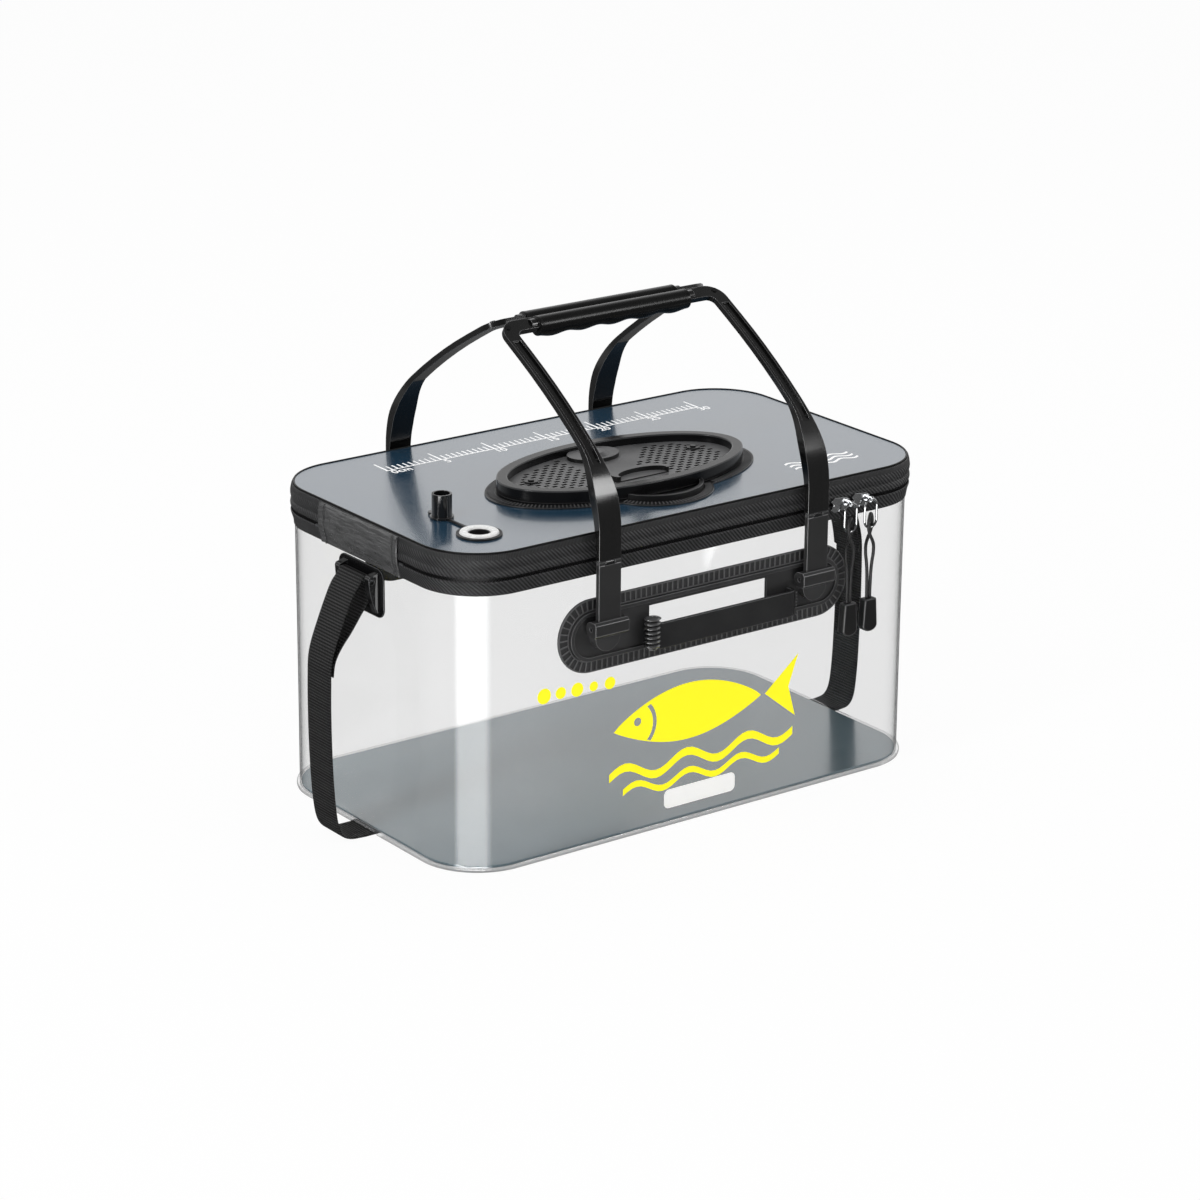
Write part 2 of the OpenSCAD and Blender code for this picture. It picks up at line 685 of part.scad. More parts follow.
// The perforated floor, its raised middle band, the dome at the back and the finger arch in front
module hatch_mesh() {
    band_half = 11;
    dome_a = 22;
    dome_b = 16;
    arch_y = vent_y - 24;
    arch_a = 26;
    arch_cut = 20;
    rows = floor(vent_open_b / mesh_pitch_y) - 1;
    columns = floor(vent_open_a / mesh_pitch_x);
    color([0.1, 0.1, 0.11]) difference() {
        union() {
            translate([vent_x, vent_y, mesh_z]) linear_extrude(mesh_t) difference() {
                polygon(oval(vent_open_a, vent_open_b));
                for (row = [-rows:rows], column = [-columns:columns]) {
                    x = (column + (row % 2 == 0 ? 0 : 0.5)) * mesh_pitch_x;
                    y = row * mesh_pitch_y;
                    rim = sqrt(pow((abs(x) + mesh_hole_l) / vent_open_a, 2)
                        + pow((abs(y) + mesh_hole_w) / vent_open_b, 2));
                    near_band = abs(x - 0.9 * y) < band_half + 4;
                    near_dome = abs(x) < 29 && abs(y) > 7;
                    if (rim < 0.96 && !near_band && !near_dome)
                        translate([x, y]) square([mesh_hole_l, mesh_hole_w], center = true);
                }
            }
            translate([vent_x, dome_y, mesh_z + mesh_t]) linear_extrude(3) intersection() {
                polygon(oval(dome_a, dome_b, 40));
                translate([0, vent_y - dome_y]) polygon(oval(vent_open_a, vent_open_b));
            }
            translate([vent_x, dome_y - 2, mesh_z + mesh_t + 3]) cylinder(h = 2.4, r1 = 11, r2 = 7);
        }
        // shallow finger hollow in front
        translate([vent_x + 6, arch_y, mesh_z + mesh_t]) sphere(0.9 * mesh_t);
    }
    // arch over the finger hollow
    color([0.1, 0.1, 0.11]) translate([vent_x, arch_y, mesh_z + mesh_t]) difference() {
        linear_extrude(4.4) polygon(oval(arch_a, 12, 40));
        translate([0, -3.4, 0.9]) linear_extrude(6) polygon(oval(arch_a - 4, 10, 40));
        translate([0, -arch_cut, -1]) cube([3 * arch_a, 1.5 * arch_cut, arch_cut], center = true);
    }
}

// Two six-sided clips that hold the mesh down
clip_x = vent_open_a - 22.8;
clip_y = 10;
module hatch_clips() {
    color([0.05, 0.05, 0.05]) for (s = [-1, 1])
        translate([vent_x + s * clip_x, vent_y + clip_y, mesh_z + mesh_t]) {
            cylinder(h = 1.4, r = 6, $fn = 6);
            cylinder(h = 2.4, r = 2.4);
        }
}

// ---------------------------------------------------------------- air port

port_flange_t = 1.5;
port_depth = 6;
module port_base() {
    color([0.05, 0.05, 0.05]) translate([port_x, port_y, 0]) difference() {
        union() {
            translate([0, 0, lid_top_z]) cylinder(h = port_flange_t, r = port_flange_r);
            translate([0, 0, lid_top_z - lid_t - port_depth])
                cylinder(h = lid_t + port_depth + port_flange_t, r = port_barrel_r);
            translate([0, 0, lid_top_z - lid_t - 1.8]) cylinder(h = 1.8, r = port_barrel_r + 4);
        }
        translate([0, 0, lid_top_z - lid_t - port_depth - 1])
            cylinder(h = lid_t + port_depth + port_flange_t + 2, r = port_r);
    }
}

module port_eyelet() {
    eyelet_t = 1.3;
    color([0.9, 0.9, 0.9]) translate([port_x, port_y, lid_top_z + port_flange_t])
        rotate_extrude() translate([port_r + 0.8, 0]) polygon([
            [0, 0], [eyelet_r - port_r - 0.8, 0], [eyelet_r - port_r - 1.6, eyelet_t], [1, eyelet_t]]);
}

tether_z = lid_top_z + touch;
plug_y = port_y + tether_reach;
plug_flange_r = plug_r + 1.4;
fold_y = (port_y + port_flange_r + plug_y - plug_flange_r) / 2;
tether_gap = 0.3;
module tether_half(y0, y1) {
    translate([port_x - tether_w / 2, y0, tether_z]) cube([tether_w, y1 - y0, tether_t]);
}

module tether_root() {
    color([0.05, 0.05, 0.05]) difference() {
        tether_half(port_y + port_flange_r - 1, fold_y - tether_gap);
        translate([port_x, port_y, lid_top_z - 1]) cylinder(h = 9, r = port_flange_r);
    }
}

module tether_tip() {
    color([0.05, 0.05, 0.05]) difference() {
        tether_half(fold_y + tether_gap, plug_y - plug_flange_r + 1);
        translate([port_x, plug_y, lid_top_z - 1]) cylinder(h = 9, r = plug_flange_r);
    }
}

// The hollow stopper, stood upside down beside its port, with a pull ear
module plug() {
    plug_t = 1.6;
    plug_flange_t = 1.8;
    color([0.05, 0.05, 0.05]) translate([port_x, plug_y, tether_z]) {
        difference() {
            union() {
                cylinder(h = plug_flange_t, r = plug_flange_r);
                cylinder(h = plug_flange_t + plug_h, r = plug_r);
                translate([0, plug_flange_r + 2, 0]) cylinder(h = plug_flange_t, r = 4.2);
            }
            translate([0, 0, plug_flange_t]) cylinder(h = plug_h + 1, r = plug_r - plug_t);
        }
    }
}

// ---------------------------------------------------------------- handles

fold_y_out = leg_out - leg_t / 2;
fold_knuckle_r = leg_t / 2;
fold_relief_r = fold_knuckle_r + side_gap;
fold_centre_w = 0.4 * leg_w;
bevel_angle = 50;

// The leg's side view between two heights, as distances out from the wall
module leg_side(z0, z1) {
    translate([-leg_out, z0]) square([leg_t, z1 - z0]);
}

// The wedge cut from the outer side of the fold so that the handle can lean out
module fold_wedge() {
    reach = 3 * leg_t;
    translate([-fold_y_out, fold_z]) difference() {
        polygon([
            [0, 0], [-reach * sin(bevel_angle), reach * cos(bevel_angle)],
            [-reach * sin(bevel_angle), -reach * cos(bevel_angle)]]);
        circle(fold_knuckle_r);
    }
}

module fold_circle(r) {
    translate([-fold_y_out, fold_z]) circle(r);
}

// One link: the collar block with its strip up to the fold line
collar_flat = 0.68 * collar_half;
module link_strip() {
    collar_in_y = -face_y - collar_y;
    difference() {
        union() {
            translate([0, -face_y, 0]) side_view(leg_w) difference() {
                union() {
                    leg_side(collar_z, fold_z - side_gap / 2);
                    fold_circle(fold_knuckle_r);
                }
                fold_wedge();
            }
            // collar, round at the back so that it turns past the plate
            side_view(collar_w) union() {
                translate([collar_in_y, collar_z]) circle(collar_half);
                translate([collar_in_y, collar_z]) polygon([
                    [0, -collar_half], [-collar_flat, -collar_half], [-collar_half, -collar_flat],
                    [-collar_half, collar_flat], [-collar_flat, collar_half], [0, collar_half]]);
            }
        }
        // middle of the fold belongs to the handle
        translate([0, -face_y, 0]) side_view(fold_centre_w + 2 * side_gap) fold_circle(fold_relief_r);
        translate([0, -face_y, 0]) side_view(leg_w + 1) fold_circle(fold_pin_r);
        // slot at the back and underside of the collar for the plate's knuckle
        slot_w = knuckle_w + 2 * side_gap;
        pin_x([0, collar_in_y, collar_z], 3.6 + side_gap, slot_w);
        translate([-slot_w / 2, collar_in_y, collar_z - 3.6 - side_gap])
            cube([slot_w, 2 * collar_half, 7.2 + 2 * side_gap]);
        translate([-slot_w / 2, collar_in_y - 3.6 - side_gap, collar_z - 3 * collar_half])
            cube([slot_w, 20, 3 * collar_half]);
        pin_x([0, collar_in_y, collar_z], collar_pin_r + pin_gap, collar_w + 1);
    }
}

module links() {
    for (s = [-1, 1]) translate([s * leg_x, 0, 0]) link_strip();
}

module fold_pins() {
    for (s = [-1, 1]) pin_x([s * leg_x, -face_y - fold_y_out, fold_z], fold_pin_r, leg_w - 1);
}

// Side view of the leg above the fold: a bend, then a slight curve, then a straight slope
bend_z = fold_z + leg_straight;
function arc_point(centre, r, a, depth) = centre + (r - depth) * [-cos(a), sin(a)];
bend_centre = [bend_r - leg_out, bend_z];
sweep_centre = arc_point(bend_centre, bend_r - sweep_r, bend_angle, 0);
function bend_depth(a) = lookup(a, [
    [0, (leg_t + bend_t) / 2], [0.25 * bend_angle, bend_t], [0.55 * bend_angle, bend_t],
    [0.8 * bend_angle, (bar_t + bend_t) / 2], [bend_angle, bar_t]]);
bend_steps = 12;
sweep_steps = 5;
function bend_side(depth_share, a0, extra) =
    [for (i = [0:bend_steps]) let (a = a0 + (bend_angle - a0) * i / bend_steps)
        arc_point(bend_centre, bend_r, a, depth_share * bend_depth(a) + extra * min(1, i / 3))];
function sweep_side(depth) =
    [for (i = [1:sweep_steps]) let (a = bend_angle + (slope_angle - bend_angle) * i / sweep_steps)
        arc_point(sweep_centre, sweep_r, a, depth)];
function backward(p) = [for (i = [len(p) - 1:-1:0]) p[i]];
module leg_curve() {
    polygon(concat(
        [[-leg_out, fold_z + side_gap / 2]], bend_side(0, 0, 0), sweep_side(0),
        backward(sweep_side(bar_t)), backward(bend_side(1, 0, 0)),
        [[-leg_out + leg_t, fold_z + side_gap / 2]]));
}

// Groove in the outer face of the legs, running out at its lower tip
groove_a0 = 0.72 * bend_angle;
module groove_curve() {
    above = 1;
    polygon(concat(
        bend_side(0, groove_a0, -above), sweep_side(-above),
        backward(sweep_side(groove_d)), backward(bend_side(0, groove_a0, groove_d))));
}

// Front view of the leg, which narrows from its foot to the bar's width
taper_z0 = fold_z + 46;
taper_z1 = fold_z + 84;
function taper_half(z) = let (k = min(max((z - taper_z0) / (taper_z1 - taper_z0), 0), 1))
    leg_w / 2 + (bar_w - leg_w) / 2 * k * k * (3 - 2 * k);
module leg_front() {
    taper_steps = 8;
    heights = concat([fold_z - 20],
        [for (i = [0:taper_steps]) taper_z0 + (taper_z1 - taper_z0) * i / taper_steps],
        [bend_z + 2 * bend_r]);
    polygon(concat(
        [for (z = heights) [taper_half(z), z]],
        [for (z = backward(heights)) [-taper_half(z), z]]));
}

// The bar of the grip lies so that the two grips meet over the lid's middle
slope_start = arc_point(sweep_centre, sweep_r, slope_angle, 0);
grip_y = -grip_r - grip_gap;
slope_len = (grip_y + face_y - slope_start[0] - bar_t / 2 * cos(slope_angle)) / sin(slope_angle);
bar_z = slope_start[1] + slope_len * cos(slope_angle) - bar_t / 2 * sin(slope_angle);
grip_z = bar_z - grip_drop;
arch_top = slope_len + bar_w / 2;
arch_corner = 11;
corner_out_r = 15;
corner_in_r = 6;

// Lays a flat drawing, x across and y up the slope, on the sloping plane of the arch
module on_slope() {
    translate([0, slope_start[0] - face_y, slope_start[1]]) rotate([90 - slope_angle, 0, 0]) children();
}

// Outline of the sloping arch: a frame with round upper corners, open below
module arch_flat(half, inner, top, inner_top) {
    lap = 0.01;
    difference() {
        union() {
            translate([-half, -lap]) square([2 * half, top - corner_out_r + lap]);
            translate([-half + corner_out_r, -lap]) square([2 * (half - corner_out_r), top + lap]);
            for (s = [-1, 1]) translate([s * (half - corner_out_r), top - corner_out_r])
                circle(corner_out_r);
        }
        translate([-inner, -1]) square([2 * inner, inner_top - corner_in_r + 1]);
        translate([-inner + corner_in_r, -1]) square([2 * (inner - corner_in_r), inner_top + 1]);
        for (s = [-1, 1]) translate([s * (inner - corner_in_r), inner_top - corner_in_r])
            circle(corner_in_r);
    }
}

rivet_r = 1.3;
rivet_x = leg_x - 1;
rivet_s = arch_top - bar_w / 2 - 1;
module handle_frame() {
    grip_half = grip_l / 2 + 0.3;
    rim = (bar_w - groove_w) / 2;
    half = leg_x + bar_w / 2;
    inner = leg_x - bar_w / 2;
    for (s = [-1, 1]) translate([s * leg_x, -face_y, 0]) difference() {
        union() {
            intersection() {
                side_view(leg_w) difference() {
                    leg_curve();
                    fold_wedge();
                }
                front_view(-200, 200) leg_front();
            }
            side_view(fold_centre_w) difference() {
                union() {
                    fold_circle(fold_knuckle_r);
                    leg_side(fold_z, fold_z + leg_t);
                }
                fold_wedge();
            }
        }
        // outer parts of the fold belong to the link
        for (side = [-1, 1]) translate([side * (leg_w + fold_centre_w) / 4, 0, 0])
            side_view((leg_w - fold_centre_w) / 2 + 0.02) fold_circle(fold_relief_r);
        side_view(leg_w + 1) fold_circle(fold_pin_r + pin_gap);
        side_view(groove_w) groove_curve();
    }
    // the sloping bars with their groove, cut away where the grip's bar takes over
    difference() {
        on_slope() translate([0, 0, -bar_t]) linear_extrude(bar_t)
            arch_flat(half, inner, arch_top, arch_top - bar_w);
        on_slope() translate([0, 0, -groove_d]) linear_extrude(bar_t) intersection() {
            arch_flat(half - rim, inner + rim, arch_top - rim, arch_top - bar_w + rim);
            for (s = [-1, 1]) translate([s * leg_x, arch_top / 2 - arch_corner])
                square([2 * bar_w, arch_top - 2 * arch_corner + 2], center = true);
        }
        on_slope() translate([0, arch_top, 0]) cube([2 * grip_half, 3 * bar_w, 4 * bar_t], center = true);
        for (s = [-1, 1]) on_slope() translate([s * rivet_x, rivet_s, -bar_t - 1])
            cylinder(h = 2 * bar_t, r = rivet_r);
    }
    pin_x([0, grip_y, bar_z], grip_bar_r, 2 * grip_half + 10);
}

module rivets() {
    for (s = [-1, 1]) on_slope() translate([s * rivet_x, rivet_s, 0]) {
        translate([0, 0, -bar_t]) cylinder(h = bar_t + 0.1, r = rivet_r);
        cylinder(h = 0.7, r = 2.2);
    }
}

module grip() {
    pitch = grip_l / grip_waves;
    wave = 1.5;
    keel_half = 4;
    low = grip_z - grip_r - 0.4;
    steps = 10 * grip_waves;
    color([0.13, 0.13, 0.14]) difference() {
        union() {
            pin_x([0, grip_y, grip_z], grip_r, grip_l);
            front_view(grip_y - keel_half, grip_y + keel_half) polygon(concat(
                [[-grip_l / 2, grip_z], [grip_l / 2, grip_z]],
                [for (i = [steps:-1:0]) let (x = grip_l * (i / steps - 0.5))
                    [x, low + wave * cos(360 * (x + grip_l / 2) / pitch)]]));
        }
        pin_x([0, grip_y, bar_z], grip_bar_r + 0.02, grip_l + 1);
    }
}

module front_links() { color([0.1, 0.1, 0.11]) links(); }
module back_links() { color([0.1, 0.1, 0.11]) rotate(180) links(); }
module front_fold_pins() { color("silver") fold_pins(); }
module back_fold_pins() { color("silver") rotate(180) fold_pins(); }
module front_handle_frame() { color([0.08, 0.08, 0.08]) handle_frame(); }
module back_handle_frame() { color([0.08, 0.08, 0.08]) rotate(180) handle_frame(); }
module front_grip() { grip(); }
module back_grip() { rotate(180) grip(); }
module front_rivets() { color("silver") rivets(); }
module back_rivets() { color("silver") rotate(180) rivets(); }

// ---------------------------------------------------------------- zip sliders and pulls

slider_z = split_z;
slider_face_d = band_out + 0.4;
slider_t = 1.6;
eye_d = slider_face_d + slider_t + 2.9;
eye_hole_r = ring_wire_r + 0.3;
// A slider that rides on the front of the zip, with an eye for its ring at the right-hand end
module slider(x) {
    neck_h = zip_gap - 1.2;
    neck_d = slider_face_d - zip_outer_d - touch;
    half_l = slider_l / 2;
    half_h = slider_h / 2;
    color([0.75, 0.76, 0.78]) translate([x, -face_y, slider_z]) {
        translate([-half_l + 3, -slider_face_d, -neck_h / 2]) cube([slider_l - 6, neck_d, neck_h]);
        translate([0, -slider_face_d, 0]) rotate([90, 0, 0]) linear_extrude(slider_t) polygon([
            [-half_l, -half_h * 0.55], [-half_l + 3, -half_h], [half_l - 4, -half_h * 0.8],
            [half_l, -half_h * 0.45], [half_l, half_h * 0.45], [half_l - 4, half_h * 0.8],
            [-half_l + 3, half_h], [-half_l, half_h * 0.55], [-half_l + 2.5, 0]]);
        translate([half_l - 2.4, -slider_face_d - slider_t, 0]) rotate([90, 0, 90])
            linear_extrude(2.4) difference() {
                union() {
                    translate([-(eye_d - slider_face_d - slider_t), -2.6])
                        square([eye_d - slider_face_d - slider_t, 5.2]);
                    translate([-(eye_d - slider_face_d - slider_t), 0]) circle(2.6);
                }
                translate([-(eye_d - slider_face_d - slider_t), 0]) circle(eye_hole_r);
            }
    }
}

module slider_a() { slider(slider_a_x); }
module slider_b() { slider(slider_a_x + slider_pitch); }

// Centre of a ring's upper round end, in its slider's eye
function ring_x(x) = x + slider_l / 2 - 1.2;
ring_y = -face_y - eye_d;
ring_top_z = slider_z;
ring_low_z = ring_top_z - ring_side_l - 2 * ring_end_r;
module ring(x) {
    upper_z = ring_top_z - ring_end_r;
    lower_z = upper_z - ring_side_l;
    color([0.78, 0.79, 0.8]) translate([ring_x(x), ring_y, 0]) {
        translate([0, 0, upper_z]) rotate([90, 0, 0])
            rotate_extrude(angle = 180) translate([ring_end_r, 0]) circle(ring_wire_r, $fn = 24);
        translate([0, 0, lower_z]) rotate([90, 180, 0])
            rotate_extrude(angle = 180) translate([ring_end_r, 0]) circle(ring_wire_r, $fn = 24);
        for (s = [-1, 1]) translate([s * ring_end_r, 0, lower_z])
            cylinder(h = ring_side_l, r = ring_wire_r, $fn = 24);
    }
}

module ring_a() { ring(slider_a_x); }
module ring_b() { ring(slider_a_x + slider_pitch); }

// The pull cord: up from the tab, through the ring and down behind it; relative to the ring's foot
cord_route = [
    [1.5, 0, -57], [1.5, 0, -52], [1.6, -0.1, -44], [1.7, -0.3, -36], [2.2, -0.6, -28],
    [2.8, -1.2, -21], [2.2, -1.9, -14], [0, -2.5, -9], [-2.4, -2.9, -5], [-4, -3, 0], [-4.1, -2.7, 5],
    [-2.6, -1.8, 9.2], [0, 0, 11], [2.6, 1.8, 9.2], [4.1, 2.7, 5], [4, 3, 0], [2.4, 2.9, -5],
    [0, 2.5, -9], [-2.2, 1.9, -14], [-2.8, 1.2, -21], [-2.2, 0.6, -28], [-1.7, 0.3, -36],
    [-1.6, 0.1, -44], [-1.5, 0, -52], [-1.5, 0, -57]];
cord_steps = 3;
tab_drop = 57;
module cord(x) {
    foot = [ring_x(x), ring_y, ring_low_z];
    color([0.05, 0.05, 0.05]) tube([for (p = smooth(cord_route, cord_steps)) p + foot], cord_r);
}

module cord_a() { cord(slider_a_x); }
module cord_b() { cord(slider_a_x + slider_pitch); }

// The moulded tab at the cord's foot, wider below and round at the bottom
module tab(x) {
    half = tab_w / 2;
    top_half = half - 1.4;
    shoulder = 0.35 * half;
    foot_y = ring_y + tab_t / 2;
    color([0.12, 0.12, 0.13]) translate([ring_x(x), foot_y, ring_low_z - tab_drop - tab_h])
        rotate([90, 0, 0]) linear_extrude(tab_t) polygon(concat(
            [[top_half, tab_h], [-top_half, tab_h]],
            [for (a = [180:15:360]) [half * cos(a), shoulder + half * 0.7 + half * 0.7 * sin(a)]]));
}

module tab_a() { tab(slider_a_x); }
module tab_b() { tab(slider_a_x + slider_pitch); }

// ---------------------------------------------------------------- output

wall_shell();
floor_panel();
base_bead();
rim_band();
rim_hoop();
zip_lower();
zip_stops();
hinge_strip_lower();
front_plate();
back_plate();
front_grab_bar();
back_grab_bar();
collar_pins();
strap_bases();
strap_bars();
left_strap();
right_strap();
lid_panel();
lid_band();
lid_piping();
lid_hoop();
zip_upper();
hinge_strip_upper();
vent_base();
vent_hinge_pin();
port_base();
port_eyelet();
tether_root();
hatch_ring();
hatch_mesh();
hatch_clips();
plug();
tether_tip();
front_links();
front_fold_pins();
front_handle_frame();
front_grip();
front_rivets();
back_links();
back_fold_pins();
back_handle_frame();
back_grip();
back_rivets();
slider_a();
slider_b();
ring_a();
ring_b();
cord_a();
cord_b();
tab_a();
tab_b();
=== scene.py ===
"""Looks of a clear live-bait bucket with a zipped lid, a meshed hatch and two folding handles.

Lengths are metres, and what is written in millimetres goes through MM or in_mm. The frame tells
where each rigid part lies, and every soft part is built here to lie in its place.
"""

import logging
import math
from collections.abc import Callable, Sequence
from dataclasses import dataclass, field
from enum import Enum

import bmesh
import bpy
from mathutils import Matrix, Vector, noise


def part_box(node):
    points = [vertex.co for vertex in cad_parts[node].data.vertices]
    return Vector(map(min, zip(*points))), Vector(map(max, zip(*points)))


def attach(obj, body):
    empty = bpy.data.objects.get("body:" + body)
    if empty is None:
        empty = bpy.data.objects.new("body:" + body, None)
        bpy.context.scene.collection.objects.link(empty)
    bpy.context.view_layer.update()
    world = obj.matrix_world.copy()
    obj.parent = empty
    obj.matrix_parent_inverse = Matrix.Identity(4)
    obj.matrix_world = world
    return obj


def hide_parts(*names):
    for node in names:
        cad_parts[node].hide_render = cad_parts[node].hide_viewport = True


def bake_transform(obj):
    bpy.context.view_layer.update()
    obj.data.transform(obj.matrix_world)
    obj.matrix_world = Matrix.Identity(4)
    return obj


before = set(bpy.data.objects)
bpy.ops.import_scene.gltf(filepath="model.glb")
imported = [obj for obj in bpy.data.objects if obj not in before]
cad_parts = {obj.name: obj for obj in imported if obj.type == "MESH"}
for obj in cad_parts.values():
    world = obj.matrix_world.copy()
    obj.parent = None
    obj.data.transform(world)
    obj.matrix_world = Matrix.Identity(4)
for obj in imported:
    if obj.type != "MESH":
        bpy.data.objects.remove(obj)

LOG = logging.getLogger("bucket")
MM = 0.001
UP = Vector((0, 0, 1))
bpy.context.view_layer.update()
SMOOTH_ANGLE = math.radians(38)
ZIP_ROW_H = 1.7 * MM
Point2 = tuple[float, float]


class Body(Enum):
    """The moving bodies of the frame."""

    TUB = "tub"
    LID = "lid"
    HATCH = "vent_hatch"
    STOPPER = "stopper"
    FRONT_LINK = "front_link"
    FRONT_HANDLE = "front_handle"
    BACK_LINK = "back_link"
    BACK_HANDLE = "back_handle"
    LEFT_SLIDER = "left_slider"
    RIGHT_SLIDER = "right_slider"
    LEFT_PULL = "left_pull"
    RIGHT_PULL = "right_pull"


# ------------------------------------------------------------------ shader maths


class Value:
    """A number socket of a node tree, whose arithmetic adds Math nodes."""

    def __init__(self, graph: "Graph", socket: bpy.types.NodeSocket) -> None:
        """Wraps one output socket of a graph."""
        self.graph = graph
        self.socket = socket

    def math(self, operation: str, *others: "Value | float") -> "Value":
        """Adds a Math node.

        Args:
            operation: The node's operation.
            others: The second and third numbers.

        Returns:
            The node's result.
        """
        inputs = dict(enumerate([self, *others]))
        return self.graph.value("ShaderNodeMath", {"operation": operation}, inputs)

    def __add__(self, other: "Value | float") -> "Value":
        """Sum."""
        return self.math("ADD", other)

    __radd__ = __add__

    def __mul__(self, other: "Value | float") -> "Value":
        """Product."""
        return self.math("MULTIPLY", other)

    __rmul__ = __mul__

    def __sub__(self, other: "Value | float") -> "Value":
        """Difference."""
        return self.math("SUBTRACT", other)

    def __rsub__(self, other: float) -> "Value":
        """Difference, the other way round."""
        return self * -1.0 + other

    def __truediv__(self, other: "Value | float") -> "Value":
        """Quotient."""
        return self.math("DIVIDE", other)

    def __pow__(self, other: "Value | float") -> "Value":
        """Power."""
        return self.math("POWER", other)

    def sine(self) -> "Value":
        """Sine of an angle in radians."""
        return self.math("SINE")

    def wave(self) -> "Value":
        """A wave from 0 to 1 with one period for each whole number."""
        return (self * (2 * math.pi)).sine() * 0.5 + 0.5

    def above(self, low: float, high: float) -> "Value":
        """Smooth step.

        Args:
            low: Where the step starts.
            high: Where it ends.

        Returns:
            0 below low, 1 above high and a smooth rise between.
        """
        settings = {"interpolation_type": "SMOOTHSTEP"}
        inputs = {"Value": self, "From Min": low, "From Max": high}
        return self.graph.value("ShaderNodeMapRange", settings, inputs)


class Graph:
    """Builds one node tree of a material or world."""

    def __init__(self, tree: bpy.types.NodeTree) -> None:
        """Empties the tree."""
        self.tree = tree
        tree.nodes.clear()

    def node(self, kind: str, settings: dict | None = None, inputs: dict | None = None) -> bpy.types.Node:
        """Adds a node.

        Args:
            kind: The node's type.
            settings: Its properties; "stops" holds a ramp's places and greys or colours.
            inputs: Its sockets, by name or number, with numbers, colours, sockets or Values.

        Returns:
            The node.
        """
        made = self.tree.nodes.new(kind)
        for name, setting in (settings or {}).items():
            if name == "stops":
                for _ in range(len(setting) - 2):
                    made.color_ramp.elements.new(0.5)
                for element, (place, colour) in zip(made.color_ramp.elements, setting):
                    element.position = place
                    element.color = (*colour, 1.0)
            else:
                setattr(made, name, setting)
        for name, given in (inputs or {}).items():
            socket = made.inputs[name]
            if isinstance(given, Value):
                self.tree.links.new(given.socket, socket)
            elif isinstance(given, bpy.types.NodeSocket):
                self.tree.links.new(given, socket)
            elif isinstance(given, tuple) and len(given) == 3 and socket.type == "RGBA":
                socket.default_value = (*given, 1.0)
            else:
                socket.default_value = given
        return made

    def value(self, kind: str, settings: dict | None = None, inputs: dict | None = None,
              output: str | int = 0) -> Value:
        """Adds a node and wraps one of its outputs."""
        return Value(self, self.node(kind, settings, inputs).outputs[output])

    def axes(self, source: str = "Object") -> tuple[Value, Value, Value]:
        """Splits a coordinate.

        Args:
            source: "Object", "UV", "Normal" or "Generated".

        Returns:
            Its three parts.
        """
        place = self.node("ShaderNodeTexCoord").outputs[source]
        parts = self.node("ShaderNodeSeparateXYZ", {}, {0: place}).outputs
        return Value(self, parts[0]), Value(self, parts[1]), Value(self, parts[2])

    def vector(self, x: Value | float, y: Value | float, z: Value | float) -> bpy.types.NodeSocket:
        """Joins three numbers."""
        return self.node("ShaderNodeCombineXYZ", {}, {0: x, 1: y, 2: z}).outputs[0]

    def noise(self, scale: float, detail: float = 2.0, place: bpy.types.NodeSocket | None = None) -> Value:
        """Noise from 0 to 1.

        Args:
            scale: Cells per metre.
            detail: Finer layers.
            place: Where it is read, or None for Object coordinates.

        Returns:
            The noise.
        """
        place = place or self.node("ShaderNodeTexCoord").outputs["Object"]
        inputs = {"Vector": place, "Scale": scale, "Detail": detail}
        return self.value("ShaderNodeTexNoise", {}, inputs, "Fac")

    def blend(self, share: Value, low: object, high: object) -> bpy.types.NodeSocket:
        """Mixes two colours, or the sockets that hold them, by a share from 0 to 1."""
        inputs = {0: share, 6: low, 7: high}
        return self.node("ShaderNodeMix", {"data_type": "RGBA"}, inputs).outputs[2]

    def bump(self, height: Value, distance: float, strength: float = 1.0) -> bpy.types.NodeSocket:
        """A normal from a height from 0 to 1 that stands for a distance."""
        inputs = {"Height": height, "Distance": distance, "Strength": strength}
        return self.node("ShaderNodeBump", {}, inputs).outputs[0]

    def principled(self, **sockets: object) -> bpy.types.NodeSocket:
        """A Principled shader; a socket's name has its spaces as underscores."""
        inputs = {name.replace("_", " "): given for name, given in sockets.items()}
        return self.node("ShaderNodeBsdfPrincipled", {}, inputs).outputs[0]

    def surface(self, shader: bpy.types.NodeSocket) -> None:
        """Sends a shader to the output."""
        kind = "World" if isinstance(self.tree.id_data, bpy.types.World) else "Material"
        self.node("ShaderNodeOutput" + kind, {}, {"Surface": shader})

    def mixed(self, share: Value, first: bpy.types.NodeSocket,
              second: bpy.types.NodeSocket) -> bpy.types.NodeSocket:
        """Mixes two shaders by a share from 0 to 1."""
        return self.node("ShaderNodeMixShader", {}, {0: share, 1: first, 2: second}).outputs[0]

    def seen(self) -> Value:
        """1 where the camera sees a surface itself or through a clear one, and 0 for other rays."""
        path = self.node("ShaderNodeLightPath").outputs
        return Value(self, path["Is Camera Ray"]).math("MAXIMUM", Value(self, path["Is Transmission Ray"]))


# ------------------------------------------------------------------ finishes


@dataclass(frozen=True)
class Finish:
    """A surface finish; each kind fills its own node tree."""

    name: str

    def material(self) -> bpy.types.Material:
        """The finish's material, made once.

        Returns:
            The material, made the first time that it is asked for.
        """
        made = bpy.data.materials.get(self.name)
        if made is None:
            made = bpy.data.materials.new(self.name)
            made.use_nodes = True
            self.build(Graph(made.node_tree))
        return made

    def build(self, graph: Graph) -> None:
        """Fills the node tree."""
        raise NotImplementedError


